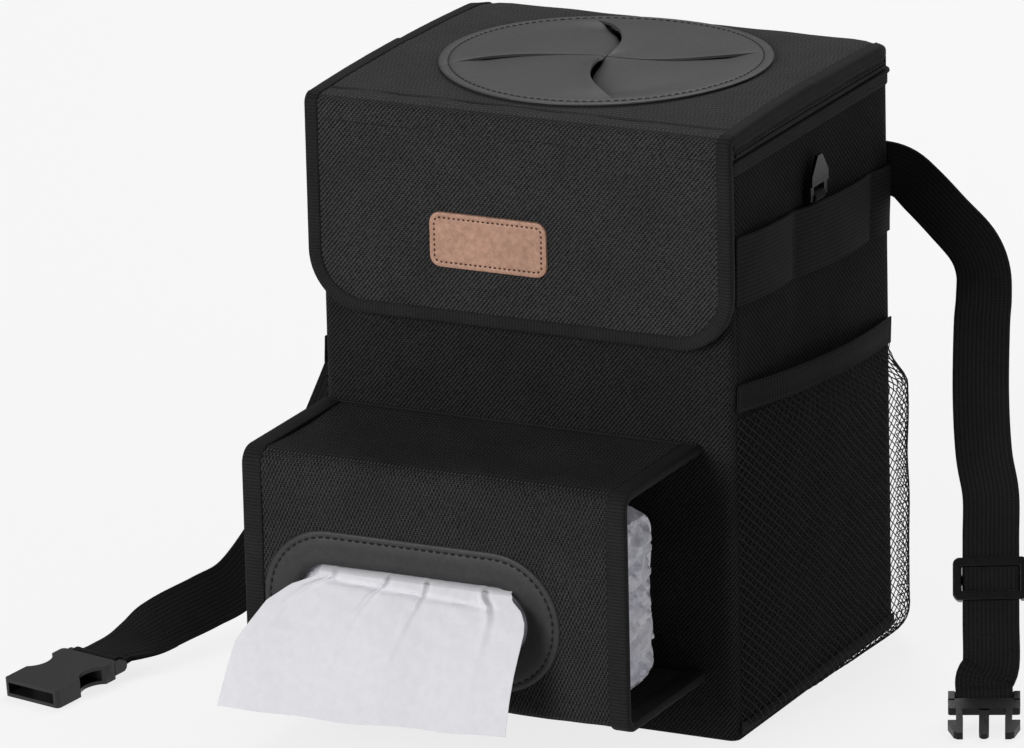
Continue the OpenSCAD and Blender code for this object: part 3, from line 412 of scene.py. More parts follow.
def tube_faces(n, k, wrap=False):
    """Faces of a tube with n rings of k points, capped at both ends or joined to a loop."""
    index = np.arange(n * k).reshape(n, k)
    caps = [] if wrap else [index[0, ::-1].tolist(), index[-1].tolist()]
    a = index if wrap else index[:-1]
    b = np.roll(index, -1, 0)[:len(a)]
    return np.stack([a, np.roll(a, -1, 1), np.roll(b, -1, 1), b], 2).reshape(-1, 4).tolist() + caps


def copies(faces, size, count):
    """The same faces again for each run of size points."""
    return [[i + c * size for i in f] for c in range(count) for f in faces]


def joined(meshes):
    """Several meshes as one."""
    verts, faces, uvs = [], [], []
    for v, f, uv in meshes:
        base = sum(map(len, verts))
        faces += [[base + i for i in q] for q in f]
        verts.append(v)
        uvs.append(uv)
    return np.concatenate(verts), faces, np.concatenate(uvs)


def slab(P, t, uv, N, soft=0.35, wrap=False, keep=None, flip=False):
    """A closed sheet: P is its outer face (rows, columns, 3), N points outwards, t is its thickness."""
    N = np.broadcast_to(np.asarray(N, float), P.shape)
    outer, inner = P.copy(), P - N * t
    borders = [(slice(None), 0), (slice(None), -1)] + ([] if wrap else [(0, slice(None)), (-1, slice(None))])
    for e in borders:
        outer[e] = P[e] - N[e] * soft * t
        inner[e] = P[e] - N[e] * (t - soft * t)
    verts = np.concatenate([outer.reshape(-1, 3), inner.reshape(-1, 3)])
    uvs = np.concatenate([uv.reshape(-1, 2)] * 2)
    size = P[..., 0].size
    index = np.arange(size).reshape(P.shape[:2])
    cells = quads(np.vstack([index, index[:1]]) if wrap else index)
    cells = cells if keep is None else cells[keep.ravel()]
    if flip:
        cells = cells[:, ::-1]
    # walls along every border of what is kept
    steps = {(q[k - 1], q[k]) for q in cells.tolist() for k in range(4)}
    walls = sorted((p, q, q + size, p + size) for p, q in steps if (q, p) not in steps)
    used, faces = np.unique(np.concatenate([cells, cells[:, ::-1] + size, walls]), return_inverse=True)
    return verts[used], faces.reshape(-1, 4).tolist(), uvs[used]


def sweep(path, A, N, section, wrap=False, puff=1.0):
    """A closed outline, drawn as (sideways, outwards), moved along a path; puff scales it outwards."""
    A, N = (np.broadcast_to(np.asarray(q, float), path.shape)[:, None] for q in (A, N))
    section = np.asarray(section, float)
    n, k = len(path), len(section)
    puff = np.broadcast_to(puff, n)[:, None, None]
    verts = path[:, None] + A * section[:, :1] + N * section[:, 1:] * puff
    uv = points(*grid(arc_len(path), arc_len(section)))
    return verts.reshape(-1, 3), tube_faces(n, k, wrap), uv.reshape(-1, 2)


def lid_shape(V):
    """The soft lid: crowned along its length, with round drooping corners at the back."""
    x, y, z = np.asarray(V, float).T
    r, w, d = 15.0, LID_HW + TAPE_T, LID_BACK + TAPE_T
    a = np.clip((np.abs(x) - (w - r)) / r, 0, 1)
    b = np.clip((y - (d - r)) / r, 0, 1)
    up = np.clip((z - LID_Z) / (LID_TOP - LID_Z), 0, 1)
    crown = 2.1 * (1 - np.clip(np.abs(y) / LID_BACK, 0, 1) ** 2.2)
    droop = 2.6 * a * b + 0.8 * np.maximum(a * a, b * b) * (y > 0)
    return points(np.where(a > 0, np.sign(x) * (w - r + r * a * np.sqrt(1 - b * b / 2)), x),
                  np.where(b > 0, d - r + r * b * np.sqrt(1 - a * a / 2), y),
                  z + up * (crown - droop))


def face_outwards(mesh, sharp, weld):
    """Turns all faces outwards, joins points closer than weld and marks the sharp edges."""
    bm = bmesh.new()
    bm.from_mesh(mesh)
    if weld:
        bmesh.ops.remove_doubles(bm, verts=bm.verts, dist=weld)
    bmesh.ops.recalc_face_normals(bm, faces=bm.faces)
    bm.to_mesh(mesh)
    bm.free()
    mesh.set_sharp_from_angle(angle=math.radians(sharp))


def piece(name, mesh, mat, body="body", stands_for=(), sharp=40, weld=0):
    """One visible piece, from its points, its faces and the lengths along its weave."""
    verts, faces, uv = mesh
    if body == "lid":
        verts = lid_shape(verts)
    data = bpy.data.meshes.new(name)
    data.from_pydata((verts * MM).tolist(), [], faces)
    data.validate()
    index = np.empty(len(data.loops), int)
    data.loops.foreach_get("vertex_index", index)
    data.uv_layers.new(name="weave").data.foreach_set("uv", (uv[index] * MM).ravel())
    data.polygons.foreach_set("use_smooth", [True] * len(data.polygons))
    face_outwards(data, sharp, weld)
    data.materials.append(mat)
    obj = bpy.data.objects.new(name, data)
    COL.objects.link(obj)
    if body:
        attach(obj, body)
    if stands_for:
        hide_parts(*stands_for)
    return obj


def stitches(name, path, nrm, pitch=3.0, length=2.2, width=0.6, lift=0.1, closed=False, body="body",
             mat=THREAD):
    """A row of short threads along a path that lies on the cloth."""
    both = np.hstack([path, np.broadcast_to(np.asarray(nrm, float), path.shape)])
    if closed:
        both = np.vstack([both, both[:1]])
    s = arc_len(both[:, :3])
    count = max(1, int(s[-1] // pitch))
    middles = (np.arange(count) + 0.5) * s[-1] / count

    def at(x):
        return points(*(np.interp(np.clip(x, 0, s[-1]), s, column) for column in both.T))

    run = unit(at(middles + 0.3)[:, :3] - at(middles - 0.3)[:, :3])
    # each ring: place along the thread, width and height
    rings = [(-0.5, 0.15, -0.25), (-0.36, 0.8, 0.1), (0.0, 1.0, 0.3), (0.36, 0.8, 0.1), (0.5, 0.15, -0.25)]
    verts = []
    for f, wide, up in rings:
        p, m = at(middles + f * length)[:, :3], unit(at(middles + f * length)[:, 3:])
        side = unit(np.cross(run, m))
        for x, y in circle(0.5 * width * wide, 0.34 * width * wide, 60):
            verts.append(p + m * (lift + up * width + y) + side * x)
    verts = np.stack(verts, 1).reshape(-1, 3)
    mesh = verts, copies(tube_faces(5, 6), 30, count), verts[:, :2]
    return piece(name, mesh, mat, body)


for node in ("front_board", "back_board", "side_board_left", "side_board_right", "base_board", "flap_board"):
    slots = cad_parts[node].data.materials
    slots.clear()
    slots.append(BOARD)


# Box

def wall_skin(node, foot, nrm, seed, mat):
    """One upright cloth wall with slight waves. Its path runs along the wall's foot."""
    z0, z1 = 0.4, BODY_H - 2.0
    along = arc_len(foot)
    S, Z = grid(along, spaced(z0, z1, 5.0, 0.8))
    out = 0.35 * waves(S, Z, 60, seed) + 0.10 * waves(S, Z, 14, seed + 1)
    edge = smooth(0, 8, S) * smooth(0, 8, along[-1] - S) * smooth(0, 10, Z) * smooth(0, 12, z1 - Z)
    out = out * edge - 0.5 * (1 - smooth(z0, z0 + 1.2, Z))
    N = points(nrm[:, :1], nrm[:, 1:], 0 * Z)
    P = points(foot[:, :1], foot[:, 1:], Z) + N * out[..., None]
    piece("skin_" + node, slab(P, 0.9, points(S, Z), N, soft=0.2), mat, stands_for=(node,))


def build_walls():
    """Front and back with the round corners, then the sides between them."""
    arc = np.radians(np.linspace(0, 90, 7))
    middle = np.linspace(-HW + WALL_R, HW - WALL_R, 45)[1:-1]
    for node, s, seed in (("front_panel", -1, 3), ("back_panel", 1, 5)):
        # from left to right seen from outside, round both corners
        corner_nrm = points(-np.cos(arc), s * np.sin(arc))
        corner = [-(HW - WALL_R), s * (HD - WALL_R)] + WALL_R * corner_nrm
        foot = np.vstack([corner, points(middle, s * HD), (corner * [-1, 1])[::-1]])
        nrm = np.vstack([corner_nrm, points(0 * middle, s), (corner_nrm * [-1, 1])[::-1]])
        # front and back walls in the cloth painted darker for shade
        wall_skin(node, foot[::-s], nrm[::-s], seed, SHADED_WALL)
    run = spaced(-HD + WALL_R, HD - WALL_R, 4.0, 0.6)
    for node, s, seed in (("side_panel_left", -1, 7), ("side_panel_right", 1, 9)):
        # sides in the coarse cloth, painted darker for shade
        wall_skin(node, points(s * HW, s * run), points(s, 0 * run), seed, COARSE_SHADED)


def build_base():
    """Cloth under the box, slightly raised in the middle, and its stitches."""
    ring, nrm = round_outline(2 * HW - 1.0, 2 * HD - 1.0, WALL_R - 0.5, 6, 8.0)
    # from the rounded edge to the middle: how far in, and how high
    P = []
    for g, z in ((0, 0.5), (0.5, 0.05), (2, 0), (10, 0), (30, 0.12), (55, 0.15), (75, 0.15), (83, 0.15)):
        limit = np.maximum([HW - 0.5 - g, HD - 0.5 - g], 0.3)
        flat = ring - nrm * g if g < 3 else np.sign(ring) * np.minimum(np.abs(ring), limit)
        P.append(points(*flat.T, z))
    P = np.stack(P, 1)
    mesh = slab(P, 0.8, P[..., :2], DOWN, soft=0.0, wrap=True, flip=True)
    piece("skin_base", mesh, OXFORD, stands_for=("base_panel",))
    foot, _ = round_outline(2 * HW - 12, 2 * HD - 12, 3, 4, 8.0)
    stitches("stitch_base", points(*foot.T, 0.02), DOWN, 4.0, 2.8, lift=-0.18, closed=True)


def build_liner():
    """Loose waterproof lining: the wall all round and the bottom."""
    w, d, z0, z1 = 95.5 - 0.8, 81.0 - 0.8, 4.3, BODY_H - 1.0
    ring, nrm = round_outline(2 * w, 2 * d, 4.0, 6, 6.0)
    S, Z = grid(arc_len(ring), spaced(z0, z1, 8.0, 1.0))
    inward = 0.5 + 0.45 * waves(S, Z, 45, 21) * smooth(0, 15, Z - z0) * smooth(0, 12, z1 - Z)
    N = points(-nrm[:, :1], -nrm[:, 1:], 0 * Z)
    P = points(ring[:, :1], ring[:, 1:], Z) + N * inward[..., None]
    wall = slab(P, 0.5, points(S, Z), N, soft=0.2, wrap=True, flip=True)
    X, Y = grid(spaced(-w, w, 10, 1), spaced(-d, d, 10, 1))
    bottom = points(X, Y, z0 + 0.25 * (1 + waves(X, Y, 40, 22)))
    floor = slab(bottom, 0.5, points(X, Y), UP, soft=0.2)
    piece("skin_liner", joined([wall, floor]), LINER, stands_for=("inner_liner",))


def build_rim():
    """Folded tape over the walls' upper edge, with a piping bead on three sides."""
    ring, nrm = round_outline(2 * HW, 2 * HD, WALL_R, 8, 3.0)
    out = points(*nrm.T, 0)
    section = [(0.0, -7.2), (0.55, -7.15), (0.84, -6.7), (0.88, -5.2), (0.72, -4.6), (0.88, -4.0),
               (0.88, -1.0), (0.6, -0.1), (-0.2, 0.55), (-1.9, 0.88), (-3.7, 0.55), (-4.4, -0.2),
               (-4.68, -1.2), (-4.7, -6.0), (-4.4, -6.9), (-3.9, -7.0), (-3.9, -3.0), (-0.2, -3.0)]
    tape = sweep(points(*ring.T, BODY_H), out, UP, section, wrap=True)
    piece("skin_rim", tape, TAPE, stands_for=("rim_binding",))
    # the bead starts and ends where the front begins
    last_front = np.flatnonzero(ring[:, 1] <= -HD + 2.5)[-1]
    keep = np.roll(np.arange(len(ring)), -last_front - 1)
    keep = keep[ring[keep, 1] > -HD + 2.5]
    bead = points(*(ring + nrm * TAPE_T)[keep].T, BODY_H - 1.1)
    piece("rim_piping", sweep(bead, out[keep], UP, circle(1.05, step=36)), TAPE)
    row = points(*(ring + nrm * 0.72).T, BODY_H - 4.6)
    stitches("stitch_rim", row, out, 3.2, 2.4, 0.6, -0.05, closed=True)


# Lid

def disc_frame(half_width, y0, y1, r, count=160):
    """Rows from a circle round the disc to a rectangle, along the same directions, as (x, y)."""
    turns = [math.atan2(y - DISC_Y, x) for x in (-half_width, half_width) for y in (y0, y1)]
    a = np.concatenate([np.linspace(-math.pi, math.pi, count, endpoint=False), turns])
    a = np.unique(np.round(a, 6))
    c, s = np.cos(a), np.sin(a)
    with np.errstate(divide="ignore"):
        reach = np.minimum(np.abs(half_width / c), np.abs(np.where(s > 0, y1 - DISC_Y, y0 - DISC_Y) / s))
    f = np.array([0, 0.02, 0.15, 0.3, 0.45, 0.6, 0.75, 0.88, 0.97, 1.0])
    lengths = r * (1 - f) + reach[:, None] * f
    return points(lengths * c[:, None], DISC_Y + lengths * s[:, None])


def lid_back():
    """Side view of the bend at the lid's back: places and outward directions, as (y, z)."""
    arc = np.radians(np.linspace(0, 90, 9))
    nrm = points(np.sin(arc), np.cos(arc))
    bend = [FLAT_BACK, LID_TOP - LID_BACK_R] + LID_BACK_R * nrm
    places = np.vstack([bend, [[LID_BACK, 264.5], [LID_BACK, 262.8], [LID_BACK - 0.1, LID_Z + 0.05]]])
    return places, np.vstack([nrm, [[1, 0]] * 3])


def lid_top():
    """Top cloth: a frame round the disc, then the bend at the back."""
    Q = disc_frame(LID_HW, LID_FRONT, FLAT_BACK, 64.2)
    X, Y = Q[..., 0], Q[..., 1]
    edge = smooth(0, 7, LID_HW - np.abs(X)) * smooth(0, 6, Y - LID_FRONT)
    lift = (0.28 * waves(X, Y, 45, 31) + 0.2) * edge * smooth(74, 82, np.hypot(X, Y - DISC_Y))
    top = slab(points(X, Y, LID_TOP + lift), 0.9, Q, UP, soft=0.0, wrap=True)
    bend, nrm = lid_back()
    S, X = grid(arc_len(bend), spaced(-LID_HW, LID_HW, 6.0, 0.6))
    P, N = points(X, bend[:, :1], bend[:, 1:]), points(0, nrm[:, :1], nrm[:, 1:])
    back = slab(P, 0.9, points(X, FLAT_BACK + S), N, soft=0.0)
    piece("skin_lid", joined([top, back]), OXFORD, "lid", ("lid_panel",))


def lid_side(s, side):
    """Upright side, the rolled edge along its foot and the dark seam above that."""
    Y, Z = grid(spaced(LID_FRONT, LID_BACK - 1.6, 5.0, 0.5), spaced(LID_Z + 0.05, LID_TOP - 1.2, 2.5, 0.5))
    past = np.maximum(0, Y - FLAT_BACK)
    bend = LID_TOP - 1.2 - LID_BACK_R + np.sqrt(np.maximum(LID_BACK_R ** 2 - past ** 2, 0))
    P = points(s * (LID_HW - 0.1 + 0.12 * waves(Y, Z, 30, 33)), Y, np.minimum(Z, bend))
    node = "lid_gusset_" + side
    piece("skin_" + node, slab(P, 0.8, points(Y, Z), (s, 0, 0), soft=0.25), OXFORD, "lid", (node,))
    foot = points(s * (LID_HW + 0.25), np.linspace(LID_FRONT + 2.0, LID_BACK - 3.5, 50), LID_Z + 1.5)
    piece("lid_piping_" + side, sweep(foot, (s, 0, 0), UP, circle(0.85)), TAPE, "lid")
    stitches("stitch_gusset_" + side, foot + [s * 0.05, 0, 1.75], (s, 0, 0), 3.0, 2.6, 0.8, body="lid")


def lid_tape(s, side):
    """Folded tape along one side edge."""
    section = [(-5.6, -0.1), (-5.5, 0.5), (-5.05, 0.82), (-4.3, 0.62), (-3.6, 0.86), (-1.2, 0.9),
               (-0.1, 0.72), (0.6, 0.25), (0.88, -0.6), (0.9, -2.6), (0.72, -3.4), (0.88, -4.2),
               (0.82, -5.2), (0.45, -5.6),
               (-0.1, -5.6), (-0.4, -4.0), (-0.5, -0.6), (-3.5, -0.5)]
    bend, nrm = lid_back()
    run = np.linspace(LID_FRONT + 0.1, FLAT_BACK, 60)
    path = points(s * LID_HW, *np.vstack([points(run, LID_TOP), bend[1:]]).T)
    N = points(0, *np.vstack([points(0 * run, 1), nrm[1:]]).T)
    puff = 1 + 0.05 * waves(arc_len(path), 0, 12, 35 + s)
    node = "lid_binding_" + side
    piece("skin_" + node, sweep(path, (s, 0, 0), N, section, puff=puff), TAPE, "lid", (node,))
    row = path + N * 0.62 - [s * 4.3, 0, 0]
    stitches("stitch_lid_" + side, row[1:-3], N[1:-3], 3.2, 2.5, 0.55, -0.02, body="lid")


def lid_seam():
    """Pressed seam behind the fold to the flap."""
    x = np.linspace(6.5 - LID_HW, LID_HW - 6.5, 90)
    path = points(x, LID_FRONT + 8.0 + 0.3 * waves(x, 0, 60, 37), LID_TOP + 0.12)
    section = [(-0.9, 0.0), (-0.75, 0.35), (-0.3, 0.1), (0.3, 0.1), (0.75, 0.35), (0.9, 0.0), (0.0, -0.4)]
    piece("lid_fold_seam", sweep(path, BACK, UP, section), THREAD, "lid")


def lid_board():
    """Stiff board between the top cloth and the lining, and the cloth over its front edge."""
    Q = disc_frame(LID_HW - 1.4, LID_FRONT + 0.3, FLAT_BACK - 0.3, 63.6, 120)
    board_top = 271.75
    mesh = slab(points(Q[..., 0], Q[..., 1], board_top), 2.0, Q, UP, soft=0.08, wrap=True)
    piece("lid_stiffener", mesh, BOARD, "lid", ("lid_board",))
    Z, X = grid(np.linspace(268.6, LID_TOP - 0.6, 8), spaced(-LID_HW + 1.0, LID_HW - 1.0, 8.0, 0.6))
    front = slab(points(X, LID_FRONT + 0.04, Z), 0.22, points(X, Z), FRONT, soft=0.0)
    piece("lid_front_edge", front, OXFORD, "lid")


def lid_lining():
    """Lining under the board."""
    Q = disc_frame(LID_HW - 1.1, LID_FRONT + 0.2, LID_BACK - 4.2, 63.2, 120)
    X, Y = Q[..., 0], Q[..., 1]
    P = points(X, Y, 268.95 + 0.12 * waves(X, Y, 40, 36))
    mesh = slab(P, 0.75, Q, DOWN, soft=0.3, wrap=True, flip=True)
    piece("skin_lid_lining", mesh, LINER, "lid", ("lid_lining",))


def build_lid():
    lid_top()
    for s, side in SIDES:
        lid_side(s, side)
    for s, side in SIDES:
        lid_tape(s, side)
    lid_seam()
    lid_board()
    lid_lining()


def build_hinge_cloth():
    """Cloth between the rim and the lid's back."""
    Z, X = grid(np.linspace(BODY_H - 1.2, LID_Z + 2.2, 16), np.linspace(-84, 84, 60))
    mesh = slab(points(X, LID_BACK - 0.18, Z), 0.5, points(X, Z), BACK, soft=0.0)
    # in the wall cloth, painted darker for shade
    obj = piece("hinge_cloth", mesh, SHADED_WALL, None)
    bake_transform(obj)


def build_disc():
    """Four curved petals with lifted edges, sewn down round the rim."""
    bend, reach, seam = 68.0, 65.0, 69.0
    rr = np.concatenate([[0.4, 1.5, 3.0, 5.0], np.arange(8, 60, 3.0), [60, 62, 63.5, 64.6, 65.2, 66.5, 67.6],
                         [68.4, 69.0, 69.6, 70.4, 71.5, 72.7, 73.2, DISC_R]])
    cols = np.concatenate([[0, 0.02, 0.05], np.linspace(0.1, 0.9, 17), [0.95, 0.98, 1.0]])
    # at each slit: how far its two edges stand down and up, and over what length that grows
    lifts = [(-2.6, 1.2), (-1.3, 0.3), (-2.9, 1.3), (0.5, -1.2)]
    rises = [10, 60, 10, 60]
    petals = []
    for k in range(4):
        after = (k + 1) % 4
        R, C = grid(rr, cols)
        slit = math.pi / 2 + np.arcsin(np.clip(R / (2 * bend), 0, 1)) + k * math.pi / 2
        gap = 0.4 * smooth(reach + 0.4, reach - 1.5, R)
        off = np.where(C < 0.5, 1, -1) * gap * np.clip(1 - 4 * np.minimum(C, 1 - C), 0, 1)
        turn = slit + C * math.pi / 2 + off / np.maximum(R, 0.6)
        X, Y = R * np.cos(turn), R * np.sin(turn) + DISC_Y
        near = lifts[k][0] * np.exp(-C * 7.0) * smooth(0, rises[k], R)
        far = lifts[after][1] * np.exp(-(1 - C) * 6.0) * smooth(0, rises[after], R)
        Z = (near + far) * smooth(reach, reach - 14, R) + 0.12 * waves(X, Y, 40, 41) * smooth(73, 60, R)
        Z = Z - 0.28 * np.exp(-((R - seam) / 0.7) ** 2) - 0.45 * smooth(73.0, DISC_R, R)
        P = points(X, Y, LID_TOP + DISC_T - 0.05 + Z)
        petals.append(slab(P, DISC_T - 0.15, points(X, Y), facing(P, 2, 1), soft=0.12))
    piece("disc_petals", joined(petals), DISC, "lid", ("swirl_disc",))
    a = np.linspace(0, 2 * math.pi, 240, endpoint=False)
    row = points(seam * np.cos(a), seam * np.sin(a) + DISC_Y, LID_TOP + DISC_T - 0.32)
    stitches("stitch_disc", row, UP, 3.4, 2.7, 0.6, closed=True, body="lid")


# Flap

def flap_half(z):
    """Half the flap's width at a height, less where its lower corners are round."""
    low = np.clip(FLAP_Z0 + FLAP_R - np.asarray(z, float), 0, FLAP_R)
    return LID_HW - FLAP_R + np.sqrt(FLAP_R ** 2 - low ** 2)


def flap_face():
    """Cloth from the fold down to the lower edge, flat under the patch, and its lining."""
    a = np.radians(np.linspace(90, 0, 8))
    nrm = points(-np.cos(a), np.sin(a))
    corner = FLAP_Z0 + FLAP_R * (1 - np.sin(np.radians(np.linspace(0, 89, 16))))
    rows = np.vstack([[FOLD_Y, FOLD_Z] + ROLL_R * nrm,
                      points(FLAP_FRONT, np.concatenate([np.arange(264.5, 204, -4.0), corner]))])
    nrm = np.vstack([nrm, np.tile([-1.0, 0.0], (len(rows) - 8, 1))])
    V, S = grid(arc_len(rows), spaced(-1, 1, 0.045, 0.006))
    half = flap_half(rows[:, 1])[:, None]
    X, Z = half * S, rows[:, 1:] + 0 * S
    border = np.minimum(smooth(0, 9, half - np.abs(X)), smooth(0, 9, Z - FLAP_Z0))
    out = 0.28 * waves(X, Z, 55, 51) + 0.18 + 0.10 * waves(X, Z, 16, 52)
    out = out * border * smooth(FOLD_Z + 2, FOLD_Z - 12, Z)
    out = out * np.clip(smooth(20, 34, np.abs(X - PATCH_X)) + smooth(10, 20, np.abs(Z - PATCH_Z)), 0, 1)
    N = points(0, nrm[:, :1], nrm[:, 1:])
    P = points(X, rows[:, :1], Z) + N * out[..., None]
    mesh = slab(P, 0.85, points(X, 400 - V), N, soft=0.0, flip=True)
    piece("skin_flap", mesh, OXFORD, "flap", ("flap_panel",))
    Z, S = grid(np.concatenate([np.arange(267.5, 204, -5.0), corner]), spaced(-1, 1, 0.07, 0.006))
    X = (flap_half(Z) - 0.3) * S
    P = points(X, FLAP_BACK + 0.08 * waves(X, Z, 30, 53) - 0.1, Z)
    piece("skin_flap_lining", slab(P, 0.5, points(X, Z), BACK, soft=0.2), LINING, "flap", ("flap_lining",))


def flap_tape():
    """Tape over the fold's left end, down, along the foot and up to the fold's right end."""
    left = [(-LID_HW, z) for z in np.arange(FOLD_Z, FLAP_Z0 + FLAP_R, -3.0)]
    corner = [(FLAP_R - LID_HW + FLAP_R * math.cos(a), FLAP_Z0 + FLAP_R + FLAP_R * math.sin(a))
              for a in np.radians(np.linspace(180, 270, 15))]
    foot = [(x, FLAP_Z0) for x in np.linspace(-LID_HW + FLAP_R, 0, 22)[1:]]
    half = np.array(left + corner + foot)
    line = np.vstack([half, (half[:-1] * [-1, 1])[::-1]])
    d = np.gradient(line, axis=0)
    A = points(*unit(points(d[:, 1], -d[:, 0])).T)
    A = points(A[:, 0], 0, A[:, 1])
    A[0], A[-1] = (-1, 0, 0), (1, 0, 0)
    a = np.radians(np.linspace(88, 10, 8))
    roll_nrm = points(0 * a, -np.cos(a), np.sin(a))
    roll = [0, FOLD_Y, FOLD_Z] + ROLL_R * roll_nrm
    path = np.vstack([roll - [LID_HW, 0, 0], points(line[:, 0], FLAP_FRONT, line[:, 1]),
                      roll[::-1] + [LID_HW, 0, 0]])
    A = np.vstack([np.tile([-1, 0, 0], (8, 1)), A, np.tile([1, 0, 0], (8, 1))])
    N = np.vstack([roll_nrm, np.tile(FRONT, (len(line), 1)), roll_nrm[::-1]])
    section = [(-5.6, -0.1), (-5.5, 0.45), (-5.05, 0.8), (-4.35, 0.6), (-3.7, 0.84), (-1.4, 0.9),
               (-0.2, 0.84), (0.45, 0.5), (0.8, -0.2), (0.9, -1.2), (0.9, -2.6), (0.7, -3.5),
               (0.2, -3.95), (-1.2, -4.08),
               (-4.9, -4.05), (-5.5, -3.8), (-5.6, -3.25), (-3.0, -3.0), (-3.0, -0.3)]
    mesh = sweep(path, A, N, section, puff=1 + 0.04 * waves(arc_len(path), 0, 10, 55))
    piece("skin_flap_tape", mesh, TAPE, "flap", ("flap_binding",))
    row = path - A * 4.35 + N * 0.6
    stitches("stitch_flap", row[2:-2], N[2:-2], 3.2, 2.5, 0.55, -0.02, body="flap")
    # stitch line under the fold, from edge to edge
    row = points(np.linspace(-LID_HW + 6.5, LID_HW - 6.5, 60), FLAP_FRONT - 0.02, 262.5)
    stitches("stitch_fold", row, FRONT, 3.4, 2.6, 0.5, -0.02, body="flap")


def build_flap():
    flap_face()
    flap_tape()


def build_patch():
    """Leather patch with a pressed line round it and a row of stitches; nothing is on its face."""
    # from the edge inwards: how far in, and how far in front of the flap
    rings = [(0.0, 0.0), (0.0, 1.05), (0.12, 1.38), (0.45, 1.55), (1.0, 1.6), (1.7, 1.58), (2.0, 1.42),
             (2.35, 1.3), (2.7, 1.42), (3.0, 1.52), (3.6, 1.5), (5.0, 1.48), (8.0, 1.46), (11.0, 1.45)]
    P = []
    for g, out in rings:
        ring, _ = round_outline(PATCH_W - 2 * g, PATCH_H - 2 * g, max(PATCH_R - g, 0.4), 6, 1e9)
        x, z = resample(np.vstack([ring, ring[:1]]), 121)[:-1].T
        P.append(points(x + PATCH_X, FLAP_FRONT - out, z + PATCH_Z))
    P = np.concatenate(P)
    mesh = P, tube_faces(len(rings), 120), P[:, [0, 2]]
    piece("patch", mesh, LEATHER, "flap", ("leather_patch",))
    ring, _ = round_outline(PATCH_W - 4.7, PATCH_H - 4.7, PATCH_R - 2.35, 6, 2.0)
    row = points(ring[:, 0] + PATCH_X, FLAP_FRONT - 1.32, ring[:, 1] + PATCH_Z)
    stitches("stitch_patch", row, FRONT, 2.3, 1.3, 0.85, 0.0, closed=True, body="flap", mat=BROWN)


def build_closures():
    """Hook strip on the flap's back and loop strip on the box's front."""
    for name, y, s, body, node in (("flap_closure", FLAP_BACK, 1, "flap", "flap_hook_strip"),
                                   ("front_closure", -HD, -1, "body", "front_loop_strip")):
        z = spaced(STRIP_Z - STRIP_HH, STRIP_Z + STRIP_HH, 3, 0.4)
        X, Z = grid(spaced(-STRIP_HW, STRIP_HW, 3, 0.4), z)
        P = points(X, y + s * (0.72 + 0.05 * waves(X, Z, 6, 61)), Z)
        piece(name, slab(P, 0.7, points(X, Z), (0, s, 0), soft=0.3), HOOKS, body, (node,))
        ring, _ = round_outline(2 * STRIP_HW - 4, 2 * STRIP_HH - 4, 1, 2, 3.0)
        row = points(ring[:, 0], y + s * 0.72, ring[:, 1] + STRIP_Z)
        stitches("stitch_" + name, row, (0, s, 0), 2.8, 2.0, 0.5, -0.15, closed=True, body=body)


# Tissue holder

def holder_path(step=4.0):
    """Side view of the holder from the top seam round the front to the bottom seam, with directions."""
    middle = HOLD_Y + HOLD_R
    turns = [np.radians(np.linspace(a, a + 90, 8)) for a in (90, 180)]
    upper, lower = (points(middle + HOLD_R * np.cos(a), z + HOLD_R * np.sin(a))
                    for a, z in zip(turns, (HOLD_T - HOLD_R, HOLD_B + HOLD_R)))
    top = points(np.arange(-HD, middle, -step), HOLD_T)
    front = points(HOLD_Y, np.arange(HOLD_T - HOLD_R - step, HOLD_B + HOLD_R + 1, -step))
    foot = points(np.linspace(middle, -HD, 20)[1:], HOLD_B)
    path = np.vstack([top, upper, front, lower, foot])
    d = np.gradient(path, axis=0)
    nrm = unit(points(-d[:, 1], d[:, 0]))
    away = path - [HOLD_Y + 35, (HOLD_T + HOLD_B) / 2]
    return path, nrm * np.sign((away * nrm).sum(1))[:, None]


def window_distance(x, z):
    """Distance from the middle line of the window's slot."""
    return np.hypot(np.maximum(np.abs(x - WIN_X) - WIN_HALF, 0), z - WIN_Z)


def holder_face():
    """Padded cloth round the pack, without the part behind the window."""
    path, nrm = holder_path()
    V, X = grid(arc_len(path), spaced(HOLD_L + 0.4, HOLD_RT - 0.4, 4.0, 0.5))
    Y, Z = path[:, :1] + 0 * X, path[:, 1:] + 0 * X
    ends = smooth(0, 12, X - HOLD_L) * smooth(0, 12, HOLD_RT - X)
    seam = smooth(0, 10, V) * smooth(0, 10, V[-1, 0] - V)
    out = (0.4 * waves(X, V, 50, 71) + 0.12 * waves(X, V, 15, 72)) * ends * seam
    near = smooth(6, 16, window_distance(X, Z) - WIN_R - WIN_BAND + 8)
    out = np.where(Y < HOLD_Y + 1, out * near, out)
    out = out - 1.1 * smooth(0, 40, V) * smooth(70, 40, V) * ends
    N = points(0, nrm[:, :1], nrm[:, 1:] + 0 * X)
    P = points(X, Y, Z) + N * out[..., None]
    cx, cy, cz = ((g[:-1, :-1] + g[1:, 1:]) / 2 for g in (X, Y, Z))
    keep = (window_distance(cx, cz) >= WIN_R + 5) | (cy >= HOLD_Y + 3)
    mesh = slab(P, 2.4, points(X, 400 - V), N, soft=0.1, keep=keep)
    piece("skin_holder", mesh, HOLDER, stands_for=("holder_strip",))


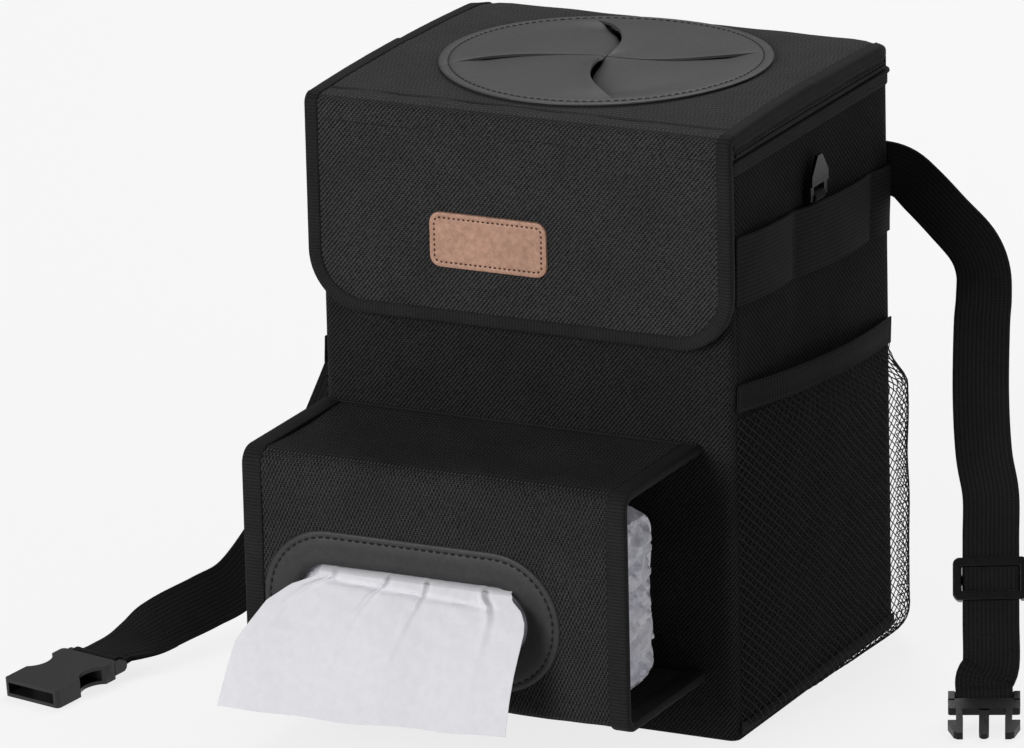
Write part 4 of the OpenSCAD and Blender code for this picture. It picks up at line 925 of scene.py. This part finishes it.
def build_holder():
    holder_face()
    section = [(-8.4, -0.1), (-8.3, 0.5), (-7.8, 0.82), (-7.1, 0.62), (-6.5, 0.86), (-1.0, 0.9), (0.2, 0.72),
               (0.8, 0.1), (0.9, -0.8), (0.88, -2.2), (0.5, -3.1), (-0.3, -3.45), (-7.4, -3.45), (-8.3, -3.2),
               (-8.4, -2.5), (-6.0, -2.0), (-6.0, -0.5)]
    path, nrm = holder_path(3.0)
    path[[0, -1], 0] = -HD - 0.05
    N = points(0, *nrm.T)
    for s, end, node in ((-1, HOLD_L, "holder_binding_left"), (1, HOLD_RT, "holder_binding_right")):
        edge = points(end, *path.T)
        piece("skin_" + node, sweep(edge, (s, 0, 0), N, section), TAPE, stands_for=(node,))
        stitches("stitch_" + node, edge - [s * 7.1, 0, 0] + N * 0.62, N, 3.2, 2.5, 0.6, -0.02)
    # raised seam where the holder's top meets the box
    x = np.linspace(HOLD_L + 1, HOLD_RT - 1, 60)
    seam = points(x, -HD - 0.8, HOLD_T + 0.55 + 0.12 * waves(x, 0 * x, 30, 73))
    piece("holder_seam", sweep(seam, BACK, UP, circle(0.95, 0.75)), TAPE)


def build_surround():
    """Leatherette round the window."""
    ends, f = np.radians(np.linspace(-90, 90, 25)), np.arange(1, 18) / 18
    half = points(WIN_HALF + WIN_R * np.cos(ends), WIN_R * np.sin(ends))
    half = np.vstack([half, points(WIN_HALF * (1 - 2 * f), WIN_R)])
    nrm = np.vstack([points(np.cos(ends), np.sin(ends)), points(0 * f, 1)])
    x, z = np.vstack([half, -half]).T
    nx, nz = np.vstack([nrm, -nrm]).T
    path, A = points(x + WIN_X, HOLD_Y, z + WIN_Z), points(nx, 0, nz)
    section = [(15.5, -0.15), (15.4, 0.5), (14.9, 0.95), (13.2, 1.12), (12.4, 0.82), (11.6, 1.12),
               (8.0, 1.18), (3.5, 1.2), (1.0, 1.05), (0.2, 0.6), (0.0, -0.2), (0.0, -2.8), (0.5, -3.3),
               (5.0, -3.3), (5.2, -2.8), (3.0, -2.4), (3.0, -0.3)]
    piece("skin_surround", sweep(path, A, FRONT, section, wrap=True), VINYL, stands_for=("window_surround",))
    row = path + A * 12.4 - [0, 0.82, 0]
    stitches("stitch_surround", row, FRONT, 3.5, 2.5, 1.0, 0.05, closed=True)


def build_pack():
    """Film pack as a crumpled pillow: a rounded box, pressed in along its folds."""
    half, middle, r, n = np.array([84.2, 22.5, 44.0]), [-4.4, -135.6, 73.9], 13.0, 46
    U, V = grid(np.linspace(-1, 1, n), np.linspace(-1, 1, n))
    sides = []
    for axis in range(3):
        for s in (-1, 1):
            place = np.roll(points(s, U, V), axis, -1) * half
            core = np.clip(place, r - half, half - r)
            d = place - core
            sides.append(core + d / np.maximum(np.linalg.norm(d, axis=2, keepdims=True), 1e-6) * r)
    faces = copies(quads(np.arange(n * n).reshape(n, n)).tolist(), n * n, 6)
    P = np.concatenate(sides).reshape(-1, 3)
    x, y, z = P.T
    fold = np.abs(waves(x + 0.6 * y, z - 0.4 * y, 26, 81))
    small = np.abs(waves(x - 0.5 * z, y + 0.5 * z, 14, 83))
    inward = 0.3 + 1.3 * (1 - np.minimum(fold, 1)) + 1.1 * (1 - np.minimum(2 * small, 1))
    ends = smooth(62, 84, np.abs(x))
    P = P - unit(P / (half * half)) * (inward * (0.6 + 0.5 * ends))[:, None]
    P[:, 2] *= 1 - 0.05 * ends
    P[:, 2] += 5.0 * ends * smooth(5, -40, P[:, 2])
    x, y, z = P.T
    crush = 1 - np.minimum(1.6 * np.abs(waves(y + 0.3 * z, z, 13, 85)), 1)
    P[:, 0] -= np.sign(x) * (3.2 * crush + 0.10 * np.abs(y)) * smooth(78, 81.5, np.abs(x))
    P = P + middle
    mesh = P, faces, P[:, [0, 2]]
    obj = piece("pack", mesh, FILM, stands_for=("tissue_pack",), sharp=28, weld=0.0003)


def build_tissue():
    """The pulled-out tissue: out of the window, over its edge and down in front."""
    top, low, front = 84.0, 26.0, -164.0
    # side view: inside the window, the bend, then the slack fall
    f = np.linspace(0, 1, 44) ** 1.4
    bow = 4.0 * 4 * f * (1 - f)
    y = np.concatenate([[-158.4, -159.5, -161.0, -162.4, -163.3], front - 27.0 * f - bow * 0.9])
    z = np.concatenate([[84.0, 84.5, 84.9, 84.9, 84.6], top - (top - low) * f + bow * 0.42])
    V, S = grid(arc_len(points(y, z)), np.linspace(0, 1, 150))
    left = np.interp(z, [21, 26, 54, 71, 78, 82.5, 90], [-100, -98.6, -93, -82, -72.5, -61.0, -60.5])
    right = np.interp(z, [21, 26, 54, 66, 71, 75, 79, 82.5, 90],
                      [40, 40.1, 40.7, 41.3, 41.4, 40.4, 37.6, 32.0, 30])
    left[:5], right[:5] = -61.5, 30.0
    X = left[:, None] + (right - left)[:, None] * S

    def column(inside, falling):
        """One value for the rows inside the window, then one for each row of the fall."""
        return np.concatenate([np.full(5, inside), falling])[:, None]

    folds = 0 * S
    for at, wide, deep in ((0.08, 0.020, 2.2), (0.36, 0.014, 3.2), (0.56, 0.014, 3.6), (0.86, 0.020, 4.4)):
        q = (S - at) / wide
        folds = folds + deep * (0.6 - q) * np.exp(-q * q)
    crease = column(-1.0, f) - (0.045 + 0.07 * S * smooth(0, 0.15, S))
    folds = folds - 2.2 * np.exp(-(crease / 0.013) ** 2) * smooth(0.0, 0.12, S) * smooth(0.95, 0.8, S)
    high = column(0.3, np.exp(-f * 4.0))
    fade = column(0.55, 0.55 + 0.6 * smooth(0.0, 0.5, f))
    ripple = 0.9 * waves(X, 0.25 * V, 42, 91) * fade + folds * high + 0.15 * waves(X, V, 9, 92)
    Y = y[:, None] - 1.3 - 0.8 * ripple - 0.4
    Y[:5] = y[:5, None]
    Z = z[:, None] + 0.25 * ripple * (high > 0.2)
    Z[5:] += 4.2 * (S[5:] * f[:, None]) ** 2
    Z[-1] += 0.5 * waves(X, 0 * X, 30, 93)[-1]
    P = points(X, Y, Z)
    mesh = slab(P, 0.3, points(X, V), facing(P, 1, -1), soft=0.2)
    obj = piece("tissue", mesh, TISSUE, stands_for=("tissue_sheet",), sharp=80)


# Side webbing and pockets

def on_slope(y, z, middle, slope):
    """Place (y, z) on a strip that slopes down towards the back, given its height at the middle."""
    a = math.radians(slope)
    return y * math.cos(a) + z * math.sin(a), middle - y * math.sin(a) + z * math.cos(a)


def bow_at(y, y0, y1, s):
    """How far an arc between y0 and y1 with rise s stands out at y."""
    half, mid = (y1 - y0) / 2, (y0 + y1) / 2
    bend = (half * half + s * s) / (2 * s)
    return np.where((y > y0) & (y < y1), np.sqrt(np.maximum(bend ** 2 - (y - mid) ** 2, 0)) - bend + s, 0)


def mouth_bow(y):
    """How far the elastic stands off the wall at y."""
    return bow_at(y, -78.0, 78.0, 6.5)


def build_bands():
    """Webbing sewn down at four rows, and the elastic that its stitches gather."""
    knots, sewn, widest = [-81.0, -22.0, 60.0, 81.0], 3.0, 79.0
    spans = list(zip(knots, knots[1:]))
    for s, side in SIDES:
        y = np.unique(np.concatenate([np.linspace(a, b, 26) for a, b in spans] + [[-81, -80.6, 80.6, 81]]))
        Y, Z = grid(y, spaced(-15, 15, 3.0, 0.4))
        bow = sum(bow_at(Y, a + 1.5, b - 1.5, 3.0 * (b - a - sewn) / widest) for a, b in spans)
        dent = sum(np.exp(-((Y - k) / 0.9) ** 2) for k in knots[1:3])
        out = bow + 1.55 + 0.12 * waves(Y, Z, 22, 101) - 0.45 * dent
        P = points(s * (HW + out), *on_slope(Y, Z, BAND_Z, BAND_SLOPE))
        mesh = slab(P, 1.4, points(Y, Z), facing(P, 0, s), soft=0.3)
        piece("band_" + side, mesh, WEB, stands_for=("webbing_band_" + side,))
        for k, y in enumerate(np.clip(knots, -79.4, 79.4)):
            row = points(s * (HW + 1.15), *on_slope(y, np.linspace(-14, 14, 12), BAND_Z, BAND_SLOPE))
            stitches(f"stitch_band_{side}_{k}", row, (s, 0, 0), 3.0, 2.2, 0.6, 0.0)
        y = np.concatenate([[-81, -80.6], np.linspace(-79.5, 79.5, 107), [80.6, 81]])
        Y, Z = grid(y, spaced(-6, 6, 2.0, 0.4))
        out = mouth_bow(Y) + 1.35 + 0.22 * np.sin(Y * 2.1 + 0.3 * Z) * smooth(81, 70, np.abs(Y))
        P = points(s * (HW + out), *on_slope(Y, Z, MOUTH_Z, MOUTH_SLOPE))
        mesh = slab(P, 1.1, points(Y, Z), facing(P, 0, s), soft=0.3)
        piece("elastic_" + side, mesh, ELASTIC, stands_for=("pocket_elastic_" + side,))
        y = np.linspace(-79, 79, 80)
        for k, z in enumerate((-4.4, 4.4)):
            row = points(s * (HW + mouth_bow(y) + 1.5), *on_slope(y, z, MOUTH_Z, MOUTH_SLOPE))
            stitches(f"stitch_elastic_{side}_{k}", row, (s, 0, 0), 2.8, 1.9, 0.45, -0.05)


def net_top(y, gap):
    """Height of a line under the sloping mouth."""
    return MOUTH_Z - gap - y * math.tan(math.radians(MOUTH_SLOPE))


def pocket_depth(y, z):
    """How far the net stands off the wall: two arcs in plan that meet at the fullest place."""
    fullest, reach = 56, 17
    y = np.clip(y, -81, 81)
    r = np.where(y < fullest, (137.0 ** 2 + reach ** 2) / (2 * reach), (25.0 ** 2 + reach ** 2) / (2 * reach))
    plan = np.maximum(np.sqrt(np.maximum(r ** 2 - (y - fullest) ** 2, 0)) - r + reach, 0)
    foot = np.sqrt(np.clip(1 - (np.clip(20 - z, 0, 16) / 16) ** 2, 0, 1))
    k = smooth(14, 0, net_top(y, 6) - z)
    return np.maximum(plan * foot * (1 - k) + (mouth_bow(y) + 0.6) * k, 0.25) + 0.25


def net(s):
    """Square strands between knots on staggered rows."""
    across, up, r = 5.0, 4.2, 0.3
    knots, places = {}, []
    for i in range(int((143 - 4.5) / (up / 2)) + 3):
        for j in range(int(160 / across) + 2 - i % 2):
            y, z = -80.6 + (j + (i % 2) / 2) * across, 4.6 + i * up / 2
            if y <= 80.8 and z <= net_top(y, 4.5):
                knots[i, j] = len(places)
                places.append((y, z))
    y, z = np.array(places).T
    y, z = y + 0.18 * waves(y, z, 7, 111), z + 0.18 * waves(y, z, 9, 112)
    depth = pocket_depth(y, z)
    P = points(s * (HW + depth + 0.5 * waves(y, z, 40, 113) * smooth(0, 8, depth)), y, z)
    links = [(a, knots[i + 1, k]) for (i, j), a in knots.items() for k in (j + i % 2 - 1, j + i % 2)
             if (i + 1, k) in knots]
    A, B = P[np.array(links).T]
    run = unit(B - A)
    wide = unit(np.cross(run, (s, 0, 0)))
    high = np.cross(wide, run) * 0.8
    corners = [r * v for v in (wide, high, -wide, -high)]
    V = np.stack([end + c for end in (A, B) for c in corners], 1).reshape(-1, 3)
    return V, copies(tube_faces(2, 4), 8, len(links)), V[:, 1:]


def build_nets():
    section = [(-2.6, -0.3), (-2.5, 0.25), (-1.8, 0.45), (1.8, 0.45), (2.5, 0.25), (2.6, -0.3)]
    for s, side in SIDES:
        piece("net_" + side, net(s), NET, stands_for=("pocket_mesh_" + side,))
        # narrow band that holds the net's lower edge
        foot = points(s * (HW + 0.55), np.linspace(-81, 81, 70), 5.4)
        piece("net_foot_" + side, sweep(foot, UP, (s, 0, 0), section), TAPE)
        stitches("stitch_net_foot_" + side, foot + [s * 0.42, 0, 0], (s, 0, 0), 3.2, 2.2, 0.5, -0.02)


# Hook, straps, buckle

def build_covers():
    """Cloth patches over the strap ends, open where the strap leaves, with a crossed box of stitches."""
    for s, side in SIDES:
        X, Z = grid(spaced(-16, 16, 2.5, 0.5), spaced(-19, 19, 2.5, 0.5))
        edge = np.minimum(16 - np.abs(X), 19 - np.abs(Z))
        height = 1.6 + 1.0 * smooth(0, 5, edge) + 0.1 * waves(X, Z, 12, 121)
        height = np.where((X * s > 15.0) & (np.abs(Z) < 13.2), 2.7, height)
        P = points(s * COVER_X + X, HD + height, COVER_Z + Z)
        mesh = slab(P, 0.9, points(X, Z), BACK, soft=0.25)
        piece("cover_" + side, mesh, OXFORD, stands_for=("strap_cover_" + side,))
        a, b, c, d = np.array([(-13.5, -16.5), (13.5, -16.5), (13.5, 16.5), (-13.5, 16.5)])
        for k, (p, q) in enumerate(((a, b), (b, c), (c, d), (d, a), (a, c), (d, b))):
            t = np.linspace(0, 1, 12)[:, None]
            x, z = (p * (1 - t) + q * t).T
            row = points(s * COVER_X + x, HD + 2.55, COVER_Z + z)
            stitches(f"stitch_cover_{side}_{k}", row, BACK, 3.0, 2.2, 0.55, 0.0)


def moulded(name, node, body, width, segments, mat=PLASTIC):
    """The CAD piece with its flat faces joined up and its edges rounded, as a moulding has them."""
    sharp = math.radians(28)
    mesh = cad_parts[node].data.copy()
    obj = bpy.data.objects.new(name, mesh)
    COL.objects.link(obj)
    bm = bmesh.new()
    bm.from_mesh(mesh)
    bmesh.ops.remove_doubles(bm, verts=bm.verts, dist=2e-6)
    bmesh.ops.dissolve_limit(bm, angle_limit=math.radians(2), verts=bm.verts, edges=bm.edges)
    bm.to_mesh(mesh)
    bm.free()
    mesh.polygons.foreach_set("use_smooth", [True] * len(mesh.polygons))
    mesh.set_sharp_from_angle(angle=sharp)
    mod = obj.modifiers.new("edge", "BEVEL")
    mod.width = width * MM
    mod.segments = segments
    mod.limit_method = "ANGLE"
    mod.angle_limit = sharp
    mod.use_clamp_overlap = True
    mod.harden_normals = True
    bpy.context.view_layer.update()
    done = bpy.data.meshes.new_from_object(obj.evaluated_get(bpy.context.evaluated_depsgraph_get()))
    obj.modifiers.clear()
    obj.data = done
    done.materials.clear()
    done.materials.append(mat)
    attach(obj, body)
    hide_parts(node)
    return obj


def build_hook():
    """The hook, and its webbing tab: up from the seam, round the bar and down again."""
    moulded("hook_moulding", "side_hook", "hook", 0.5, 3)
    a = np.radians(np.linspace(185, -140, 22))
    loop = points(101.1 + 2.2 * np.cos(a), 225 + 2.2 * np.sin(a))
    side_view = np.vstack([[(98.9, 212.2), (98.9, 216), (98.9, 220), (98.92, 223)], loop,
                           [(99.75, 222.6), (99.7, 220), (99.7, 216), (99.7, 212.2)]])
    x, z = side_view.T
    dx, dz = np.gradient(side_view, axis=0).T
    N = unit(points(-dz, 0, dx))
    section = [(-5.0, -0.2), (-4.7, 0.34), (4.7, 0.34), (5.0, -0.2), (4.7, -0.36), (-4.7, -0.36)]
    piece("hook_loop", sweep(points(x, -1.0, z), BACK, N, section), WEB, stands_for=("hook_tab",))


# Middle of the adjuster, and the step between route points there
GLIDE_MID, GLIDE_STEP = np.array([175.5, 14.5, 54.0]), np.array([3.6, -8.6, -16.5])
# Middle of each buckle half's bar, and the way the webbing leaves it
PRONGS_AT, PRONGS_STEM = np.array([183.8, -13.0, 10.1]), np.array([-0.251, 0.592, 0.766])
SOCKET_AT, SOCKET_STEM = np.array([-202.0, -112.0, 7.8]), np.array([0.223, 0.967, 0.12])
# The way the webbing's outer face looks, for most of the right strap
LOOK = [0.24, -0.85, 0.46]

# Route points of each strap with the way its outer face looks, as in the source
RIGHT_WAY = [
    ([68.5, STRAP_Y, 214], FRONT), ([90.5, STRAP_Y, 214], FRONT), ([104, STRAP_Y, 212.5], FRONT),
    ([115, 83, 205.5], [0, -1, 0.1]), ([128, 81, 195], [0, -1, 0.1]), ([140.5, 78, 185], [0.05, -0.98, 0.2]),
    ([147, 74, 175.5], [0.1, -0.93, 0.3]), ([150, 68, 165], [0.2, -0.88, 0.42]), ([151.5, 62, 153], LOOK),
    ([156, 50, 126], LOOK), ([162, 39, 103], LOOK), (GLIDE_MID - 2 * GLIDE_STEP, LOOK),
    (GLIDE_MID - GLIDE_STEP, LOOK), (GLIDE_MID, LOOK), (GLIDE_MID + GLIDE_STEP, LOOK),
    (GLIDE_MID + 2 * GLIDE_STEP, [0.27, -0.78, 0.55]), (PRONGS_AT + 8 * PRONGS_STEM, [0.3, -0.7, 0.64]),
    (PRONGS_AT + 2.9 * PRONGS_STEM, [0.3, -0.7, 0.64])]
LEFT_WAY = [
    ([-68.5, STRAP_Y, 214], FRONT), ([-90.5, STRAP_Y, 214], FRONT), ([-103, STRAP_Y, 213], FRONT),
    ([-112, 84, 204], [0, -1, 0.05]), ([-124, 79, 188], [0, -0.95, 0.25]), ([-133, 67, 167], [0, -0.9, 0.4]),
    ([-141, 50, 136], [0.1, -0.87, 0.45]), ([-148, 30, 101], [0.2, -0.85, 0.45]),
    ([-155, 6, 67], [0.3, -0.8, 0.5]), ([-161, -18, 43], [0.5, -0.65, 0.55]),
    ([-167, -42, 27], [0.7, -0.4, 0.5]), ([-174, -60, 22.5], [0.75, -0.35, 0.5]),
    ([-181, -76, 19.5], [0.7, -0.35, 0.6]),
    ([-187, -86.5, 16.2], [0.55, -0.3, 0.75]), ([-194, -94, 12], [0.25, -0.15, 0.95]),
    (SOCKET_AT + 12 * SOCKET_STEM, [0, -0.1, 1]), (SOCKET_AT + 7 * SOCKET_STEM, [0, -0.12, 1]),
    (SOCKET_AT + 2.9 * SOCKET_STEM, [0, -0.12, 1])]


def way(rows, steps=6):
    """A smooth run through the route points, and the looks blended the same way."""
    q = np.array([[*place, *look] for place, look in rows], float)
    last = len(q) - 1
    u = (np.arange(steps) / steps)[:, None]
    run = []
    for k in range(last):
        a, b, c, d = q[max(k - 1, 0)], q[k], q[k + 1], q[min(k + 2, last)]
        run.append(0.5 * (2 * b + (c - a) * u + (2 * a - 5 * b + 4 * c - d) * u * u
                          + (3 * b - a - 3 * c + d) * u ** 3))
    run = np.vstack(run + [q[-1:]])
    return run[:, :3], run[:, 3:]


def strap_section():
    """Ribbed webbing: slightly crowned, with a firm selvedge."""
    edge = [(-12.5, 0.15), (-12.35, 0.55), (-11.9, 0.78), (-11.1, 0.8), (-10.5, 0.68)]
    ribs = [(x, 0.8 * (0.9 if round(x) % 2 else 0.72)) for x in np.arange(-10.0, 10.1, 1.0)]
    upper = edge + ribs + [(-x, y) for x, y in edge[::-1]]
    # downwards first, so that the faces look outwards
    return np.array(upper + [(x, -y) for x, y in upper[::-1]])[::-1]


def build_strap(side, rows, bar_at, tilt, heading, double):
    """One strap; its turned-back end, doubled over the given length, goes round the bar."""
    mids, looks = way(rows)
    run = unit(np.gradient(mids, axis=0))
    across = unit(np.cross(looks, run))
    out = np.cross(run, across)
    s = arc_len(mids)
    section = strap_section()
    start = int(np.searchsorted(s, s[-1] - double))
    tail = slice(start, len(mids) - 1)
    under = sweep(mids[tail] - out[tail] * 1.5, across[tail], out[tail], section * [0.985, 0.9])
    turn = Matrix.Rotation(math.radians(heading), 3, "Z") @ Matrix.Rotation(math.radians(tilt), 3, "Y")
    turn = np.array(turn)
    a = np.radians(np.arange(0, 360, 15))
    ring = points(np.cos(a), 0, np.sin(a)) @ turn.T
    loop = sweep(bar_at + ring * 2.9, turn[:, 1], ring, section[::-1] * [1, 0.98], wrap=True)
    mesh = joined([sweep(mids, across, out, section), under, loop])
    node = "strap_" + side
    obj = piece("strap_web_" + side, mesh, WEB, stands_for=(node,))
    # box of stitches over the doubled end
    first, last = start + 1, len(mids) - 3
    part = slice(first, last)
    box = [(mids[part] + across[part] * x + out[part] * 0.8, out[part]) for x in (-9.5, 9.5)]
    x = np.linspace(-9.5, 9.5, 12)[:, None]
    box += [(mids[k] + across[k] * x + out[k] * 0.8, out[k]) for k in (first, last - 1)]
    sewn = [stitches(f"stitch_strap_{side}_{i}", row, nrm, 2.6, 1.9, 0.55, 0.0)
            for i, (row, nrm) in enumerate(box)]


def build_straps():
    adjuster = moulded("adjuster_moulding", "strap_adjuster", "adjuster", 0.7, 3)
    prongs = moulded("prongs_moulding", "buckle_prongs", "prongs", 0.7, 3)
    # socket in the black plastic painted lighter for its highlight
    socket = moulded("socket_moulding", "buckle_socket", "socket", 0.5, 2, SATIN_HIGHLIT)
    build_strap("right", RIGHT_WAY, PRONGS_AT, 14.8, -67, 30)
    build_strap("left", LEFT_WAY, SOCKET_AT, 4.5, -103, 36)


# Floor, lights, camera

def build_floor():
    """White floor that looks evenly white to the camera and still takes the shadow."""
    mesh = bpy.data.meshes.new("floor")
    n, size = 9, 8.0
    t = np.linspace(-size, size, n)
    faces = quads(np.arange(n * n).reshape(n, n)).tolist()
    mesh.from_pydata([(x, y, -0.0002) for x in t for y in t], [], faces)
    obj = bpy.data.objects.new("floor", mesh)
    COL.objects.link(obj)
    s = Shade("floor_white", 0.95, 0.1)
    s.link(s.ramp(s.noise(0.002, 2.0), (0.80, 0.80, 0.80), (0.82, 0.82, 0.82)), s.bsdf.inputs["Base Color"])
    ray = s.new("ShaderNodeLightPath")
    glow = s.new("ShaderNodeEmission")
    glow.inputs["Color"].default_value = (1, 1, 1, 1)
    glow.inputs["Strength"].default_value = 1.0
    seen = s.math("MAXIMUM", ray.outputs["Is Camera Ray"],
                  s.math("MAXIMUM", ray.outputs["Is Glossy Ray"], ray.outputs["Is Transmission Ray"]))
    mix = s.new("ShaderNodeMixShader")
    for source, i in ((s.math("MULTIPLY", seen, 0.8), 0), (s.bsdf.outputs[0], 1), (glow.outputs[0], 2)):
        s.link(source, mix.inputs[i])
    s.link(mix.outputs[0], s.out.inputs[0])
    mesh.materials.append(s.mat)


def build_world(level):
    """Soft light from all round, seen as plain white by the camera and through film."""
    world = bpy.data.worlds.new("studio")
    bpy.context.scene.world = world
    world.use_nodes = True
    tree = world.node_tree
    tree.nodes.clear()
    kinds = ("OutputWorld", "MixShader", "Background", "Background", "LightPath", "Math")
    out, mix, soft, white, ray, seen = (tree.nodes.new("ShaderNode" + kind) for kind in kinds)
    seen.operation = "MAXIMUM"
    for node, strength in ((soft, level), (white, 1.0)):
        node.inputs["Color"].default_value = (1, 1, 1, 1)
        node.inputs["Strength"].default_value = strength
    for source, target in ((ray.outputs["Is Camera Ray"], seen.inputs[0]),
                           (ray.outputs["Is Transmission Ray"], seen.inputs[1]),
                           (seen.outputs[0], mix.inputs[0]), (soft.outputs[0], mix.inputs[1]),
                           (white.outputs[0], mix.inputs[2]), (mix.outputs[0], out.inputs[0])):
        tree.links.new(source, target)


def lamp(name, place, aim, size, power):
    """Round area lamp that points at the aim."""
    data = bpy.data.lights.new(name, "AREA")
    data.shape = "DISK"
    data.size = size
    data.energy = power
    obj = bpy.data.objects.new(name, data)
    COL.objects.link(obj)
    obj.location = place
    obj.rotation_euler = (Vector(aim) - Vector(place)).to_track_quat("-Z", "Y").to_euler()


def build_camera():
    """Camera fitted to the photo: directions in degrees, places in millimetres, lens in pixels."""
    azimuth, elevation, roll = (math.radians(x) for x in (26.49, 17.24, -1.35))
    distance, aside, upwards, lens, photo_width = 4045, -9.5, 148.9, 9246, 1024
    back = Vector((math.sin(azimuth) * math.cos(elevation), -math.cos(azimuth) * math.cos(elevation),
                   math.sin(elevation)))
    level = Vector((math.cos(azimuth), math.sin(azimuth), 0))
    steep = back.cross(level)
    right = level * math.cos(roll) + steep * math.sin(roll)
    up = steep * math.cos(roll) - level * math.sin(roll)
    data = bpy.data.cameras.new("camera")
    data.sensor_width = 36.0
    data.lens = lens / photo_width * data.sensor_width
    data.clip_end = 60
    obj = bpy.data.objects.new("camera", data)
    COL.objects.link(obj)
    m = Matrix((right, up, back)).transposed().to_4x4()
    m.translation = (back * distance + right * aside + up * upwards + Vector((0, -84, 0))) * MM
    obj.matrix_world = m
    bpy.context.scene.camera = obj


for build in (build_walls, build_base, build_liner, build_rim, build_lid, build_hinge_cloth, build_disc,
              build_flap, build_patch, build_closures, build_holder, build_surround, build_pack, build_tissue,
              build_bands, build_nets, build_covers, build_hook, build_straps, build_floor):
    build()
build_world(0.15)
lamp("key", (-0.9, -2.9, 1.1), (0, 0, 0.12), 1.6, 67)
lamp("fill", (2.4, -0.9, 1.2), (0, 0, 0.12), 1.8, 6)
lamp("top", (-0.4, 1.5, 2.3), (0, 0, 0.2), 1.8, 30)
lamp("rim", (0.8, 2.4, 1.4), (0, 0, 0.15), 1.6, 14)
build_camera()
bpy.context.scene.view_settings.view_transform = "Standard"
